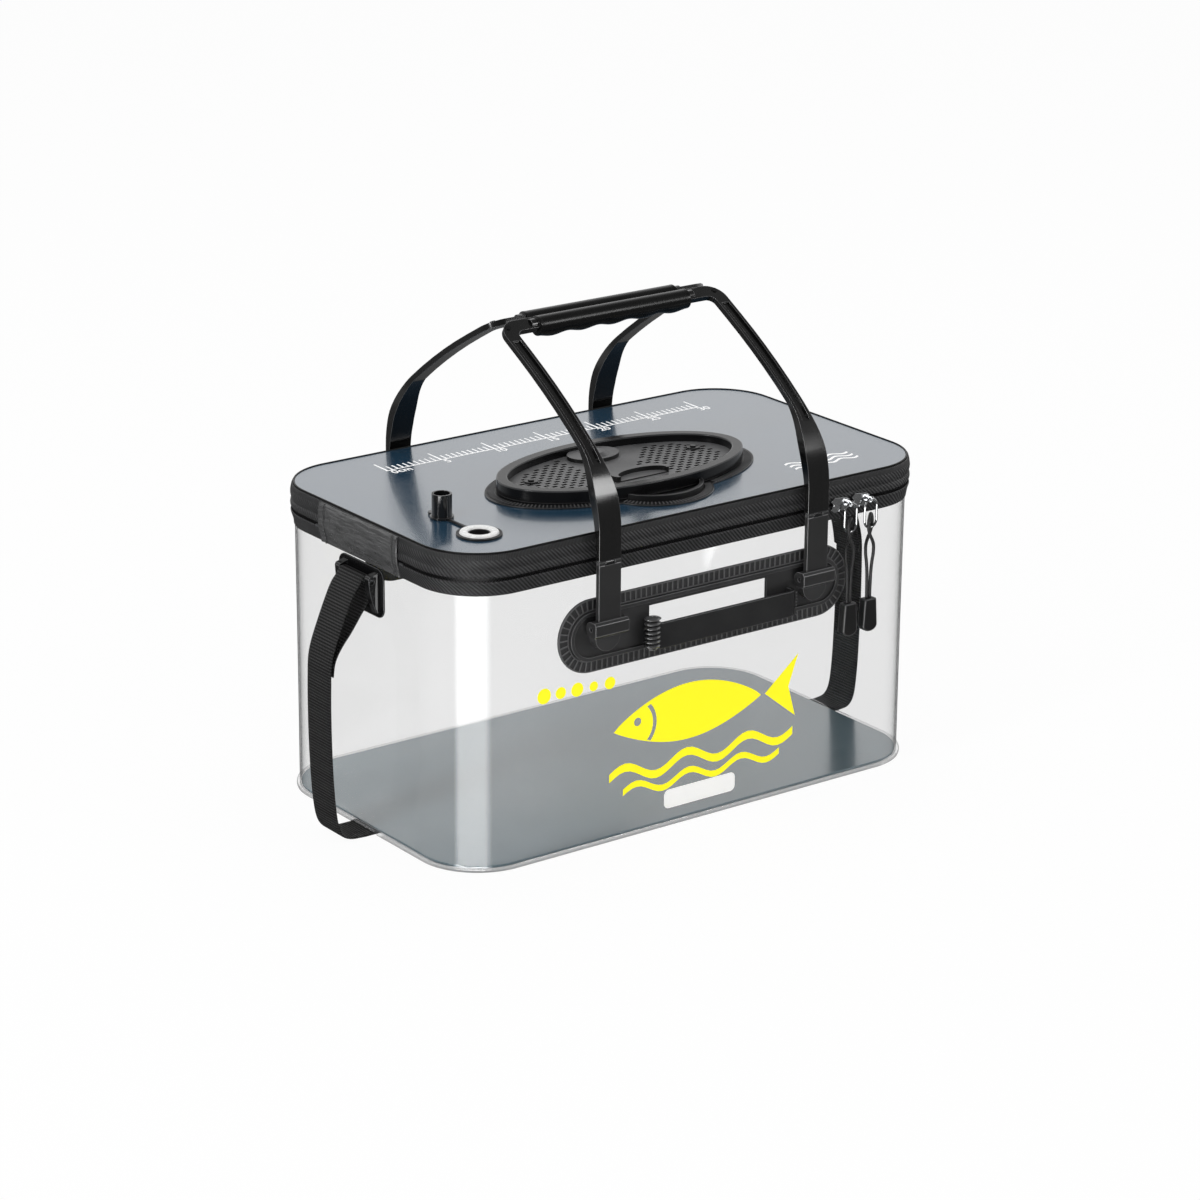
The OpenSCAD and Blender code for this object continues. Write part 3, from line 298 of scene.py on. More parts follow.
@dataclass(frozen=True)
class ClearSheet(Finish):
    """Clear soft vinyl: see-through, with painted shade where it is seen edge on, and sharp reflections."""

    haze: float = 0.002
    tint: float = 0.962
    # edge: how strongly painted shade darkens the sheet where it is seen edge on
    edge: float = 0.95
    edge_power: float = 8.0
    shine: float = 1.05
    shine_ahead: float = 0.037
    shine_edge_on: float = 0.9
    shine_power: float = 5.0
    shine_most: float = 0.5
    blur: float = 0.08

    def build(self, graph: Graph) -> None:
        """Mixes a see-through shader with a mirror and a painted dark edge; an inner face mirrors nothing.

        Args:
            graph: The material's empty graph.
        """
        clear = graph.node("ShaderNodeBsdfTransparent", {}, {"Color": (self.tint,) * 3}).outputs[0]
        mirror = graph.principled(Base_Color=(0.9, 0.91, 0.92), Metallic=1.0, Roughness=self.blur)
        body = graph.principled(Base_Color=(0.07, 0.075, 0.078), Roughness=0.25)
        facing = graph.value("ShaderNodeLayerWeight", {}, {"Blend": 0.5}, "Facing")
        # Painted shade: the dark body colour is mixed in where the sheet is seen edge on, besides the faint
        # haze
        haze_and_edge_shade = graph.mixed((facing ** self.edge_power) * self.edge + self.haze, clear, body)
        inner = graph.value("ShaderNodeAttribute", {"attribute_name": "inner"}, {}, "Fac")
        gloss = ((facing ** self.shine_power) * self.shine_edge_on + self.shine_ahead) * (1 - inner)
        graph.surface(graph.mixed((gloss * self.shine).math("MINIMUM", self.shine_most), haze_and_edge_shade, mirror))


@dataclass(frozen=True)
class CoatedTwill(Finish):
    """Fine twill under a glossy clear coat, dark blue unless another colour is given."""

    colour: tuple[float, float, float] = (0.006, 0.024, 0.045)
    pitch: float = 1.5 * MM

    def build(self, graph: Graph) -> None:
        """Fine diagonal ribs under a coat, with faint cloudy changes of gloss.

        Args:
            graph: The material's empty graph.
        """
        x, y, _ = graph.axes()
        rib = ((x + y) / (self.pitch * math.sqrt(2))).wave()
        cross = ((x - y) / (self.pitch * 0.8)).wave()
        cloud = graph.noise(14.0, 3.0)
        tone = rib * 0.6 + cross * 0.2 + cloud * 0.2
        lifted = tuple(c * 3.0 + 0.008 for c in self.colour)
        normal = graph.bump(rib * 0.8 + cross * 0.2, 0.09 * MM, 0.5)
        graph.surface(graph.principled(
            Base_Color=graph.blend(tone, self.colour, lifted), Roughness=cloud * 0.08 + 0.16,
            Normal=normal, IOR=1.6, Specular_IOR_Level=0.75, Coat_Weight=1.0, Coat_Roughness=0.12,
            Coat_IOR=1.6))


@dataclass(frozen=True)
class BandTwill(Finish):
    """Black ribbed twill of the sewn bands, whose ribs slope down to the right on the front."""

    rib: float = 2.3 * MM
    thread: float = 0.7 * MM
    ladder: float = 1.25 * MM
    border_z: float = 242.2 * MM
    border_blur: float = 0.3 * MM
    dark: tuple[float, float, float] = (0.003, 0.003, 0.0035)
    light: tuple[float, float, float] = (0.088, 0.089, 0.092)

    def build(self, graph: Graph) -> None:
        """Sloping ribs on the cloth's own UV, and a ladder weave along the top border.

        Args:
            graph: The material's empty graph.
        """
        u, v, _ = graph.axes("UV")
        _, _, z = graph.axes()
        sag = graph.noise(45.0, 2.0)
        slope = (u + v) / (self.rib * math.sqrt(2)) + sag * 0.5
        rib = slope.wave() ** 1.4
        thread = ((u - v) / self.thread).wave()
        ladder = (u / self.ladder).wave()
        border = z.above(self.border_z - self.border_blur, self.border_z + self.border_blur)
        height = rib * (1 - border) + ladder * border * 0.5
        patch = graph.noise(60.0, 2.0)
        tone = (height * 0.75 + thread * 0.12) * (patch * 0.9 + 0.35)
        normal = graph.bump(height * 0.9 + thread * 0.1, 0.42 * MM, 0.8)
        graph.surface(graph.principled(
            Base_Color=graph.blend(tone, self.dark, self.light), Roughness=0.56 - patch * 0.2,
            Normal=normal, Specular_IOR_Level=0.45))


@dataclass(frozen=True)
class GrainedSheet(Finish):
    """Smooth dark sheet of the hinge strip, creased along its length, with painted highlights along the
    creases.
    """

    creases_along: float = 60.0
    creases_across: float = 420.0
    dark: tuple[float, float, float] = (0.026, 0.0265, 0.027)
    light: tuple[float, float, float] = (0.105, 0.106, 0.108)

    def build(self, graph: Graph) -> None:
        """Leathery grain over long soft creases, whose raised streaks are painted lighter as highlights.

        Args:
            graph: The material's empty graph.
        """
        u, v, _ = graph.axes("UV")
        stretched = graph.vector(u * self.creases_along, v * self.creases_across, 0.0)
        crease = graph.noise(1.0, 3.0, stretched).above(0.22, 0.78)
        grain = graph.noise(900.0, 2.0)
        pocket = graph.noise(70.0, 2.0)
        normal = graph.bump(crease * 0.75 + grain * 0.25, 0.9 * MM, 0.6)
        # Painted highlight: the raised crease streaks are lighter in colour, mixed with random pockets of
        # tone
        graph.surface(graph.principled(
            Base_Color=graph.blend(crease * 0.6 + pocket * 0.4, self.dark, self.light),
            Roughness=0.32 - pocket * 0.1, Normal=normal, Specular_IOR_Level=0.9))


@dataclass(frozen=True)
class Moulded(Finish):
    """Moulded plastic or rubber with a fine grain; its rounded edges carry a painted highlight, lighter in
    colour and smoother.

    Set to 1, the pit setting darkens each face by how far it tilts from flat: painted shade on the sides of
    holes, while flat faces keep the light tone.
    """

    dark: tuple[float, float, float] = (0.004, 0.004, 0.0045)
    light: tuple[float, float, float] = (0.011, 0.011, 0.0115)
    # edge: the colour of the painted highlight along rounded edges, where the edge attribute is 1
    edge: tuple[float, float, float] = (0.075, 0.076, 0.078)
    roughness: float = 0.42
    grain: float = 0.06 * MM
    coat: float = 0.0
    specular: float = 0.2
    painted_pit_shade: float = 0.0

    def build(self, graph: Graph) -> None:
        """Grain everywhere, and a painted highlight, a lighter and smoother line, where the edge attribute
        is 1.

        Args:
            graph: The material's empty graph.
        """
        spark = graph.noise(1500.0, 2.0)
        cloud = graph.noise(35.0, 3.0)
        edge = graph.value("ShaderNodeAttribute", {"attribute_name": "edge"}, {}, "Fac")
        # Painted highlight: faces marked as rounded edges are blended towards the edge colour, broken up by
        # cloud noise
        painted_edge_highlight = edge * (cloud * 0.8 + 0.3)
        _, _, lift = graph.axes("Normal")
        # Painted shade: faces that tilt away from flat are darkened by the pit setting
        tone = (spark * 0.5 + cloud * 0.5) * (lift * lift * self.painted_pit_shade + (1.0 - self.painted_pit_shade))
        base = graph.blend(tone, self.dark, self.light)
        normal = graph.bump(spark * 0.8 + cloud * 0.2, self.grain, 0.5)
        rough = cloud * 0.12 + (self.roughness - 0.06) - edge * (0.3 * self.roughness)
        graph.surface(graph.principled(
            Base_Color=graph.blend(painted_edge_highlight, base, self.edge), Roughness=rough, Normal=normal,
            Coat_Weight=self.coat, Coat_Roughness=0.12, Specular_IOR_Level=self.specular))


@dataclass(frozen=True)
class Metal(Finish):
    """Plated or plain metal with faint scratches."""

    colour: tuple[float, float, float] = (0.78, 0.79, 0.80)
    roughness: float = 0.12

    def build(self, graph: Graph) -> None:
        """Fine scratches and dull patches.

        Args:
            graph: The material's empty graph.
        """
        dull = graph.noise(220.0, 3.0)
        scratch = graph.noise(2600.0, 2.0)
        shade = tuple(c * 0.72 for c in self.colour)
        graph.surface(graph.principled(
            Base_Color=graph.blend(dull, shade, self.colour), Metallic=1.0,
            Roughness=dull * 0.16 + self.roughness, Normal=graph.bump(scratch, 0.02 * MM, 0.3)))


@dataclass(frozen=True)
class Webbing(Finish):
    """Black ribbed webbing; u runs along the strap and v across it, in metres."""

    rib: float = 2.4 * MM
    column: float = 2.2 * MM

    def build(self, graph: Graph) -> None:
        """Crosswise ribs split in columns of thread.

        Args:
            graph: The material's empty graph.
        """
        u, v, _ = graph.axes("UV")
        rib = (u / self.rib).wave()
        column = (v / self.column + (u / self.rib).math("FLOOR") * 0.5).wave()
        fuzz = graph.noise(700.0, 2.0)
        tone = rib * (column * 0.5 + 0.5) * (fuzz * 0.8 + 0.4)
        normal = graph.bump(rib * 0.6 + column * 0.4, 0.4 * MM, 0.8)
        graph.surface(graph.principled(
            Base_Color=graph.blend(tone ** 1.3, (0.001, 0.001, 0.001), (0.066, 0.066, 0.067)),
            Roughness=0.7 - tone * 0.25, Normal=normal, Specular_IOR_Level=0.3))


@dataclass(frozen=True)
class Braid(Finish):
    """Braided cord; u runs round the cord from 0 to 1 and v along it in metres."""

    pitch: float = 2.4 * MM

    def build(self, graph: Graph) -> None:
        """Two crossing sets of helical strands.

        Args:
            graph: The material's empty graph.
        """
        u, v, _ = graph.axes("UV")
        first = (u * 4.0 + v / self.pitch).wave()
        second = (u * 4.0 - v / self.pitch).wave()
        weave = first.math("MAXIMUM", second)
        graph.surface(graph.principled(
            Base_Color=graph.blend(weave, (0.004, 0.004, 0.004), (0.030, 0.030, 0.031)),
            Roughness=0.62 - weave * 0.14, Normal=graph.bump(weave, 0.16 * MM, 0.7)))


@dataclass(frozen=True)
class Paint(Finish):
    """Printed ink or pale plastic, faintly uneven; the ink can also glow as painted light."""

    colour: tuple[float, float, float] = (1.0, 1.0, 1.0)
    roughness: float = 0.4
    painted_glow: float = 0.0

    def build(self, graph: Graph) -> None:
        """A solid colour with a faint mottle, which also glows in its own colour as painted light.

        Args:
            graph: The material's empty graph.
        """
        mottle = graph.noise(300.0, 3.0)
        shade = tuple(c * 0.93 for c in self.colour)
        colour = graph.blend(mottle, shade, self.colour)
        # Painted light: the emission makes the ink glow, though it is no lamp
        graph.surface(graph.principled(
            Base_Color=colour, Roughness=mottle * 0.1 + self.roughness, Emission_Color=colour,
            Emission_Strength=self.painted_glow, Normal=graph.bump(mottle, 0.02 * MM, 0.4)))


class Looks:
    """The finishes of the bucket."""

    WALL = ClearSheet("clear_wall_vinyl")
    BEAD = ClearSheet("clear_bead_vinyl", haze=0.02, shine=1.6)
    LID = CoatedTwill("lid_coated_twill")
    FLOOR = CoatedTwill("floor_coated_twill", colour=(0.085, 0.125, 0.145), pitch=1.3 * MM)
    BAND = BandTwill("band_black_twill")
    HINGE = GrainedSheet("hinge_grained_sheet")
    PIPING = Moulded("edge_piping", roughness=0.38, dark=(0.006, 0.006, 0.006), light=(0.016, 0.016, 0.016))
    # The edge colours given to these mouldings are painted highlights on their rounded edges
    MATT = Moulded("matt_black_moulding", specular=0.6, grain=0.12 * MM, dark=(0.008, 0.008, 0.008),
                   light=(0.062, 0.062, 0.064), edge=(0.16, 0.16, 0.165))
    GLOSS = Moulded("gloss_black_moulding", specular=0.25, roughness=0.2, grain=0.008 * MM)
    GRAB = Moulded("grab_bar_black", specular=0.5, roughness=0.38, grain=0.10 * MM,
                   light=(0.032, 0.032, 0.033), edge=(0.10, 0.10, 0.103))
    # Painted highlight: the ribs are the plates' black moulding made much lighter, as if their ridges were
    # lit
    RIB = Moulded("moulded_rib_edges", specular=0.6, dark=(0.05, 0.05, 0.05), light=(0.19, 0.19, 0.195))
    # The mesh's light tone on its flat faces is a painted sheen, and its hole sides get painted shade
    MESH = Moulded("mesh_plate", specular=0.6, painted_pit_shade=1.0, dark=(0.001, 0.001, 0.001),
                   light=(0.23, 0.23, 0.235))
    SOFT = Moulded("soft_black_vinyl", specular=0.45, grain=0.03 * MM)
    HANDLE = Moulded("handle_gloss_black", specular=0.5, roughness=0.18, grain=0.006 * MM, coat=0.6,
                     dark=(0.002, 0.002, 0.002), light=(0.006, 0.006, 0.006), edge=(0.09, 0.09, 0.092))
    LEG = Moulded("leg_satin_black", specular=0.5, roughness=0.34, grain=0.04 * MM,
                  dark=(0.012, 0.012, 0.012), light=(0.042, 0.042, 0.043), edge=(0.22, 0.22, 0.225))
    POLISHED = Moulded("polished_black_moulding", specular=0.6, roughness=0.2, grain=0.004 * MM, coat=0.4,
                       edge=(0.04, 0.04, 0.041))
    # Painted sheen: the bellows' tones are set far lighter than the other black mouldings, standing in for
    # their highlights
    BELLOWS = Moulded("bellows_gloss_black", specular=1.0, roughness=0.28, grain=0.004 * MM, coat=1.0,
                      dark=(0.02, 0.02, 0.02), light=(0.11, 0.11, 0.113))
    GRIP = Moulded("grip_dull_rubber", specular=0.35, roughness=0.24, grain=0.006 * MM,
                   dark=(0.002, 0.002, 0.002), light=(0.006, 0.006, 0.006))
    WEBBING = Webbing("black_webbing")
    CORD = Braid("braided_pull_cord")
    THREAD = Moulded("sewing_thread", roughness=0.6, dark=(0.012, 0.012, 0.012), light=(0.05, 0.05, 0.05))
    TEETH = Moulded("zip_teeth_black", roughness=0.35, grain=0.01 * MM)
    CHROME = Metal("bright_plating", colour=(0.68, 0.69, 0.70))
    STEEL = Metal("plain_steel", colour=(0.42, 0.43, 0.45), roughness=0.24)
    EYELET = Paint("white_eyelet_plastic", colour=(0.86, 0.86, 0.85), roughness=0.22)
    # Both inks glow a little as painted light
    WHITE_INK = Paint("white_print", colour=(0.95, 0.95, 0.95), roughness=0.5, painted_glow=0.25)
    YELLOW_INK = Paint("yellow_print", colour=(1.0, 0.93, 0.0), roughness=0.5, painted_glow=0.35)


# ------------------------------------------------------------------ making pieces


def linked(name: str, data: bpy.types.ID, finish: Finish | None = None) -> bpy.types.Object:
    """Links an object to the scene, with its origin at the frame's.

    Args:
        name: The object's name.
        data: Its mesh, curve, camera or lamp.
        finish: What a mesh is dressed in, in place of what it has.

    Returns:
        The object.
    """
    made = bpy.data.objects.new(name, data)
    bpy.context.scene.collection.objects.link(made)
    if finish:
        data.materials.clear()
        data.materials.append(finish.material())
    return made


def piece(name: str, mesh: bpy.types.Mesh, finish: Finish, body: Body,
          replaces: Sequence[str] = ()) -> bpy.types.Object:
    """Links a finished mesh as a piece of the bucket.

    Args:
        name: The piece's name.
        mesh: Its mesh, in place.
        finish: Its finish.
        body: The body that it moves with.
        replaces: The frame's nodes that it stands for.

    Returns:
        The object.
    """
    made = linked(name, mesh, finish)
    mesh.name = name
    if replaces:
        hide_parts(*replaces)
    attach(made, body.value)
    LOG.info("%s: %d faces on %s", name, len(mesh.polygons), body.value)
    return made


def smooth_mesh(mesh: bpy.types.Mesh, weld: float = 0.0) -> bpy.types.Mesh:
    """Turns the faces outwards and shades them smooth up to SMOOTH_ANGLE.

    Args:
        mesh: The mesh.
        weld: Distance within which loose corners are joined.

    Returns:
        The same mesh.
    """
    shell = bmesh.new()
    shell.from_mesh(mesh)
    if weld:
        bmesh.ops.remove_doubles(shell, verts=shell.verts, dist=weld)
    bmesh.ops.recalc_face_normals(shell, faces=shell.faces)
    shell.to_mesh(mesh)
    shell.free()
    mesh.shade_smooth()
    mesh.set_sharp_from_angle(angle=SMOOTH_ANGLE)
    return mesh


def join_into(first: bpy.types.Mesh, *others: bpy.types.Mesh) -> bpy.types.Mesh:
    """Joins meshes into the first one.

    Args:
        first: The mesh that takes them in.
        others: What is added.

    Returns:
        The first mesh.
    """
    for other in others:
        joined = bmesh.new()
        joined.from_mesh(first)
        joined.from_mesh(other)
        joined.to_mesh(first)
        joined.free()
    return first


def dress(node: str, finish: Finish) -> None:
    """Gives a frame node a finish in place of its own.

    Args:
        node: The frame's node.
        finish: Its finish.
    """
    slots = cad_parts[node].data.materials
    slots.clear()
    slots.append(finish.material())
    LOG.info("%s: the frame's own mesh in %s", node, finish.name)


def catmull(points: Sequence[Sequence[float]], steps: int) -> list[Vector]:
    """A smooth curve through points, with a few steps between each pair.

    Args:
        points: The points.
        steps: Steps between each pair.

    Returns:
        The curve's points.
    """
    given = [Vector(p) for p in points]
    last = len(given) - 1
    curve = []
    for i in range(last):
        p0, p1, p2, p3 = given[max(i - 1, 0)], given[i], given[i + 1], given[min(i + 2, last)]
        for step in range(steps):
            t = step / steps
            curve.append(0.5 * (2 * p1 + (p2 - p0) * t + (2 * p0 - 5 * p1 + 4 * p2 - p3) * t * t
                                + (3 * p1 - p0 - 3 * p2 + p3) * t * t * t))
    return [*curve, given[last]]


def running(points: Sequence[Vector], closed: bool) -> list[float]:
    """Distance along a line of points, with the closing stretch at the end if it is closed.

    Args:
        points: The line.
        closed: Whether it comes back to its start.

    Returns:
        The distance at each point.
    """
    line = [*points, points[0]] if closed else list(points)
    total = [0.0]
    for a, b in zip(line, line[1:]):
        total.append(total[-1] + (b - a).length)
    return total


def grid_mesh(name: str, rows: list[list[Vector]], closed: bool, u: list[float] | None = None,
              v: list[float] | None = None) -> bpy.types.Mesh:
    """A mesh over rings of points, filled at its ends if it is open, with a UV map in metres.

    Args:
        name: The mesh's name.
        rows: One ring of points for each station.
        closed: Whether the last ring joins the first.
        u: Places of the rings for the UV map, one more than the rings if closed.
        v: Places round a ring, one more than its points.

    Returns:
        The mesh.
    """
    count, width = len(rows), len(rows[0])
    u = u or running([row[0] for row in rows], closed)
    v = v or running(rows[count // 2], True)
    faces, coords = [], []
    for i in range(count if closed else count - 1):
        below, above = i * width, ((i + 1) % count) * width
        for j in range(width):
            k = (j + 1) % width
            faces.append((below + j, above + j, above + k, below + k))
            coords += [(u[i], v[j]), (u[i + 1], v[j]), (u[i + 1], v[j + 1]), (u[i], v[j + 1])]
    if not closed:
        for start, flip in ((0, 1), ((count - 1) * width, -1)):
            faces.append(tuple(start + j for j in range(width))[::flip])
            coords += [(0.0, v[j]) for j in range(width)]
    mesh = bpy.data.meshes.new(name)
    mesh.from_pydata([p for row in rows for p in row], [], faces)
    layer = mesh.uv_layers.new(name="cloth")
    layer.data.foreach_set("uv", [c for pair in coords for c in pair])
    return smooth_mesh(mesh)


def tube_mesh(name: str, line: Sequence[Vector], radius: float, sides: int = 12) -> bpy.types.Mesh:
    """A round tube along a line of points, whose u runs round it from 0 to 1.

    Args:
        name: The mesh's name.
        line: The tube's middle.
        radius: Its radius.
        sides: Points round it.

    Returns:
        The mesh.
    """
    rows = []
    across = Vector((0, 1, 0.02))
    angles = [2 * math.pi * k / sides for k in range(sides)]
    for i, point in enumerate(line):
        ahead = (line[min(i + 1, len(line) - 1)] - line[max(i - 1, 0)]).normalized()
        across = (across - across.dot(ahead) * ahead).normalized()
        side = ahead.cross(across)
        rows.append([point + radius * (math.cos(a) * across + math.sin(a) * side) for a in angles])
    mesh = grid_mesh(name, rows, False, running(line, False), [k / sides for k in range(sides + 1)])
    for loop in mesh.uv_layers["cloth"].data:
        loop.uv = (loop.uv[1], loop.uv[0])
    return mesh


def refined(node: str, width: float, finish: Finish, body: Body, slot: str) -> bpy.types.Object:
    """A copy of a rigid node with its convex edges rounded, and an edge attribute that marks them for a
    painted highlight.

    Args:
        node: The frame's node.
        width: Width of the rounding.
        finish: Its finish.
        body: The body that it moves with.
        slot: Not used.

    Returns:
        The piece that stands for the node.
    """
    weld = 0.01 * MM
    flat, edge, shaded = math.radians(0.4), math.radians(35), math.radians(44)
    form = bmesh.new()
    form.from_mesh(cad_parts[node].data)
    bmesh.ops.remove_doubles(form, verts=form.verts, dist=weld)
    bmesh.ops.dissolve_limit(form, angle_limit=flat, verts=form.verts, edges=form.edges)
    sharp = [e for e in form.edges
             if len(e.link_faces) == 2 and e.is_convex and e.calc_face_angle(0.0) > edge]
    layer = form.faces.layers.float.new("edge")
    bevel = bmesh.ops.bevel(form, geom=sharp, offset=width, segments=2, profile=0.6, affect="EDGES",
                            clamp_overlap=False, miter_outer="ARC")
    # The rounded faces are marked for the finishes' painted edge highlight
    for face in bevel["faces"]:
        face[layer] = 1.0
    mesh = bpy.data.meshes.new(node)
    form.to_mesh(mesh)
    form.free()
    mesh.shade_smooth()
    mesh.set_sharp_from_angle(angle=shaded)
    made = piece(node + "_rounded", mesh, finish, body, [node])
    made.modifiers.new("even shading", "WEIGHTED_NORMAL").keep_sharp = True
    return made


def refined(node: str, width: float, finish: Finish, body: Body, slot: str, angle: float = 35.0,
            merge: float = 0.01 * MM) -> bpy.types.Object:
    """A copy of a rigid node with its sharp edges rounded, and an edge attribute that marks them for a
    painted highlight.

    Args:
        node: The frame's node.
        width: Width of the rounding.
        finish: Its finish.
        body: The body that it moves with.
        slot: Not used.
        angle: The least angle in degrees that counts as an edge.
        merge: Distance within which loose corners are joined.

    Returns:
        The piece that stands for the node.
    """
    form = bmesh.new()
    form.from_mesh(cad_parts[node].data)
    bmesh.ops.remove_doubles(form, verts=form.verts, dist=merge)
    bmesh.ops.dissolve_limit(form, angle_limit=math.radians(0.4), verts=form.verts, edges=form.edges)
    sharp = [e for e in form.edges if len(e.link_faces) == 2 and e.is_convex
             and e.calc_face_angle(0.0) > math.radians(angle)]
    layer = form.faces.layers.float.new("edge")
    bevel = bmesh.ops.bevel(form, geom=sharp, offset=width, segments=2, profile=0.6, affect="EDGES",
                            clamp_overlap=False, miter_outer="ARC")
    # The rounded faces are marked for the finishes' painted edge highlight
    for face in bevel["faces"]:
        face[layer] = 1.0
    mesh = bpy.data.meshes.new(node)
    form.to_mesh(mesh)
    form.free()
    mesh.shade_smooth()
    mesh.set_sharp_from_angle(angle=math.radians(44.0))
    made = piece(node + "_rounded", mesh, finish, body, [node])
    flat = made.modifiers.new("even shading", "WEIGHTED_NORMAL")
    flat.keep_sharp = True
    return made


# ------------------------------------------------------------------ geometry nodes


class Form(Enum):
    """The small form that is repeated along a path."""

    BLOCK = "GeometryNodeMeshCube"
    BEAD = "GeometryNodeMeshIcoSphere"


@dataclass(frozen=True)
class PathPoint:
    """A point of a path over a surface, and the way off the surface."""

    place: Vector
    up: Vector


class Repeater:
    """A Geometry Nodes tree that stands one small form at even steps along a path."""

    def __init__(self, form: Form) -> None:
        """Builds the tree for one form.

        Args:
            form: The form that it stands.
        """
        self.tree = bpy.data.node_groups.new("repeat_" + form.name.lower(), "GeometryNodeTree")
        sockets = self.tree.interface
        sockets.new_socket("Geometry", in_out="INPUT", socket_type="NodeSocketGeometry")
        sockets.new_socket("Pitch", in_out="INPUT", socket_type="NodeSocketFloat")
        sockets.new_socket("Size", in_out="INPUT", socket_type="NodeSocketVector")
        sockets.new_socket("Finish", in_out="INPUT", socket_type="NodeSocketMaterial")
        sockets.new_socket("Geometry", in_out="OUTPUT", socket_type="NodeSocketGeometry")
        given = self.add("NodeGroupInput").outputs
        line = self.add("GeometryNodeMeshToCurve", {}, {0: given["Geometry"]}).outputs[0]
        spots = self.add("GeometryNodeCurveToPoints", {"mode": "LENGTH"},
                         {0: line, "Length": given["Pitch"]})
        up = self.add("GeometryNodeInputNamedAttribute", {"data_type": "FLOAT_VECTOR"}, {"Name": "up"})
        turn = self.add("FunctionNodeAxesToRotation", {"primary_axis": "Z", "secondary_axis": "X"},
                        {0: up.outputs[0], 1: spots.outputs["Tangent"]})
        inputs = {"Radius": 0.5, "Subdivisions": 2} if form is Form.BEAD else {"Size": (1.0, 1.0, 1.0)}
        shape = self.add(form.value, {}, inputs).outputs[0]
        stood = self.add("GeometryNodeInstanceOnPoints", {}, {
            "Points": spots.outputs[0], "Instance": shape, "Rotation": turn.outputs[0],
            "Scale": given["Size"]})
        real = self.add("GeometryNodeRealizeInstances", {}, {0: stood.outputs[0]})
        dressed = self.add("GeometryNodeSetMaterial", {}, {0: real.outputs[0], "Material": given["Finish"]})
        self.add("NodeGroupOutput", {}, {0: dressed.outputs[0]})

    def add(self, kind: str, settings: dict | None = None, inputs: dict | None = None) -> bpy.types.Node:
        """Adds a node with its settings, and the values or links of its sockets.

        Args:
            kind: The node's type.
            settings: Its properties, set first.
            inputs: The values or links of its sockets.

        Returns:
            The node.
        """
        made = self.tree.nodes.new(kind)
        for name, setting in (settings or {}).items():
            setattr(made, name, setting)
        for name, given in (inputs or {}).items():
            if isinstance(given, bpy.types.NodeSocket):
                self.tree.links.new(given, made.inputs[name])
            else:
                made.inputs[name].default_value = given
        return made

    def along(self, name: str, paths: Sequence[Sequence[PathPoint]], pitch: float,
              size: tuple[float, float, float], finish: Finish, closed: bool = True) -> bpy.types.Mesh:
        """Stands the form along paths.

        Args:
            name: The mesh's name.
            paths: The paths, each a row of points.
            pitch: The step.
            size: The form's length along the path, width across it and height off the surface.
            finish: Its finish.
            closed: Whether each path is a loop.

        Returns:
            A plain mesh.
        """
        base = bpy.data.meshes.new(name + "_path")
        points = [p for path in paths for p in path]
        edges, start = [], 0
        for path in paths:
            count = len(path)
            edges += [(start + i, start + (i + 1) % count) for i in range(count if closed else count - 1)]
            start += count
        base.from_pydata([p.place for p in points], edges, [])
        up = base.attributes.new("up", "FLOAT_VECTOR", "POINT")
        up.data.foreach_set("vector", [c for p in points for c in p.up])
        holder = linked(name + "_path", base)
        modifier = holder.modifiers.new("repeat", "NODES")
        modifier.node_group = self.tree
        values = {"Pitch": pitch, "Size": size, "Finish": finish.material()}
        for item in self.tree.interface.items_tree:
            if item.name in values:
                modifier[item.identifier] = values[item.name]
        shown = holder.evaluated_get(bpy.context.evaluated_depsgraph_get())
        mesh = bpy.data.meshes.new_from_object(shown)
        bpy.data.objects.remove(holder)
        bpy.data.meshes.remove(base)
        return mesh


# ------------------------------------------------------------------ the wall's outline


@dataclass(frozen=True)
class Station:
    """A place on the wall's face, with the way outwards and the distance walked round the wall."""

    place: Vector
    out: Vector
    walked: float

    def at(self, out: float, z: float) -> Vector:
        """The point at a distance out from the wall and at a height."""
        return self.place + out * self.out + Vector((0, 0, z))


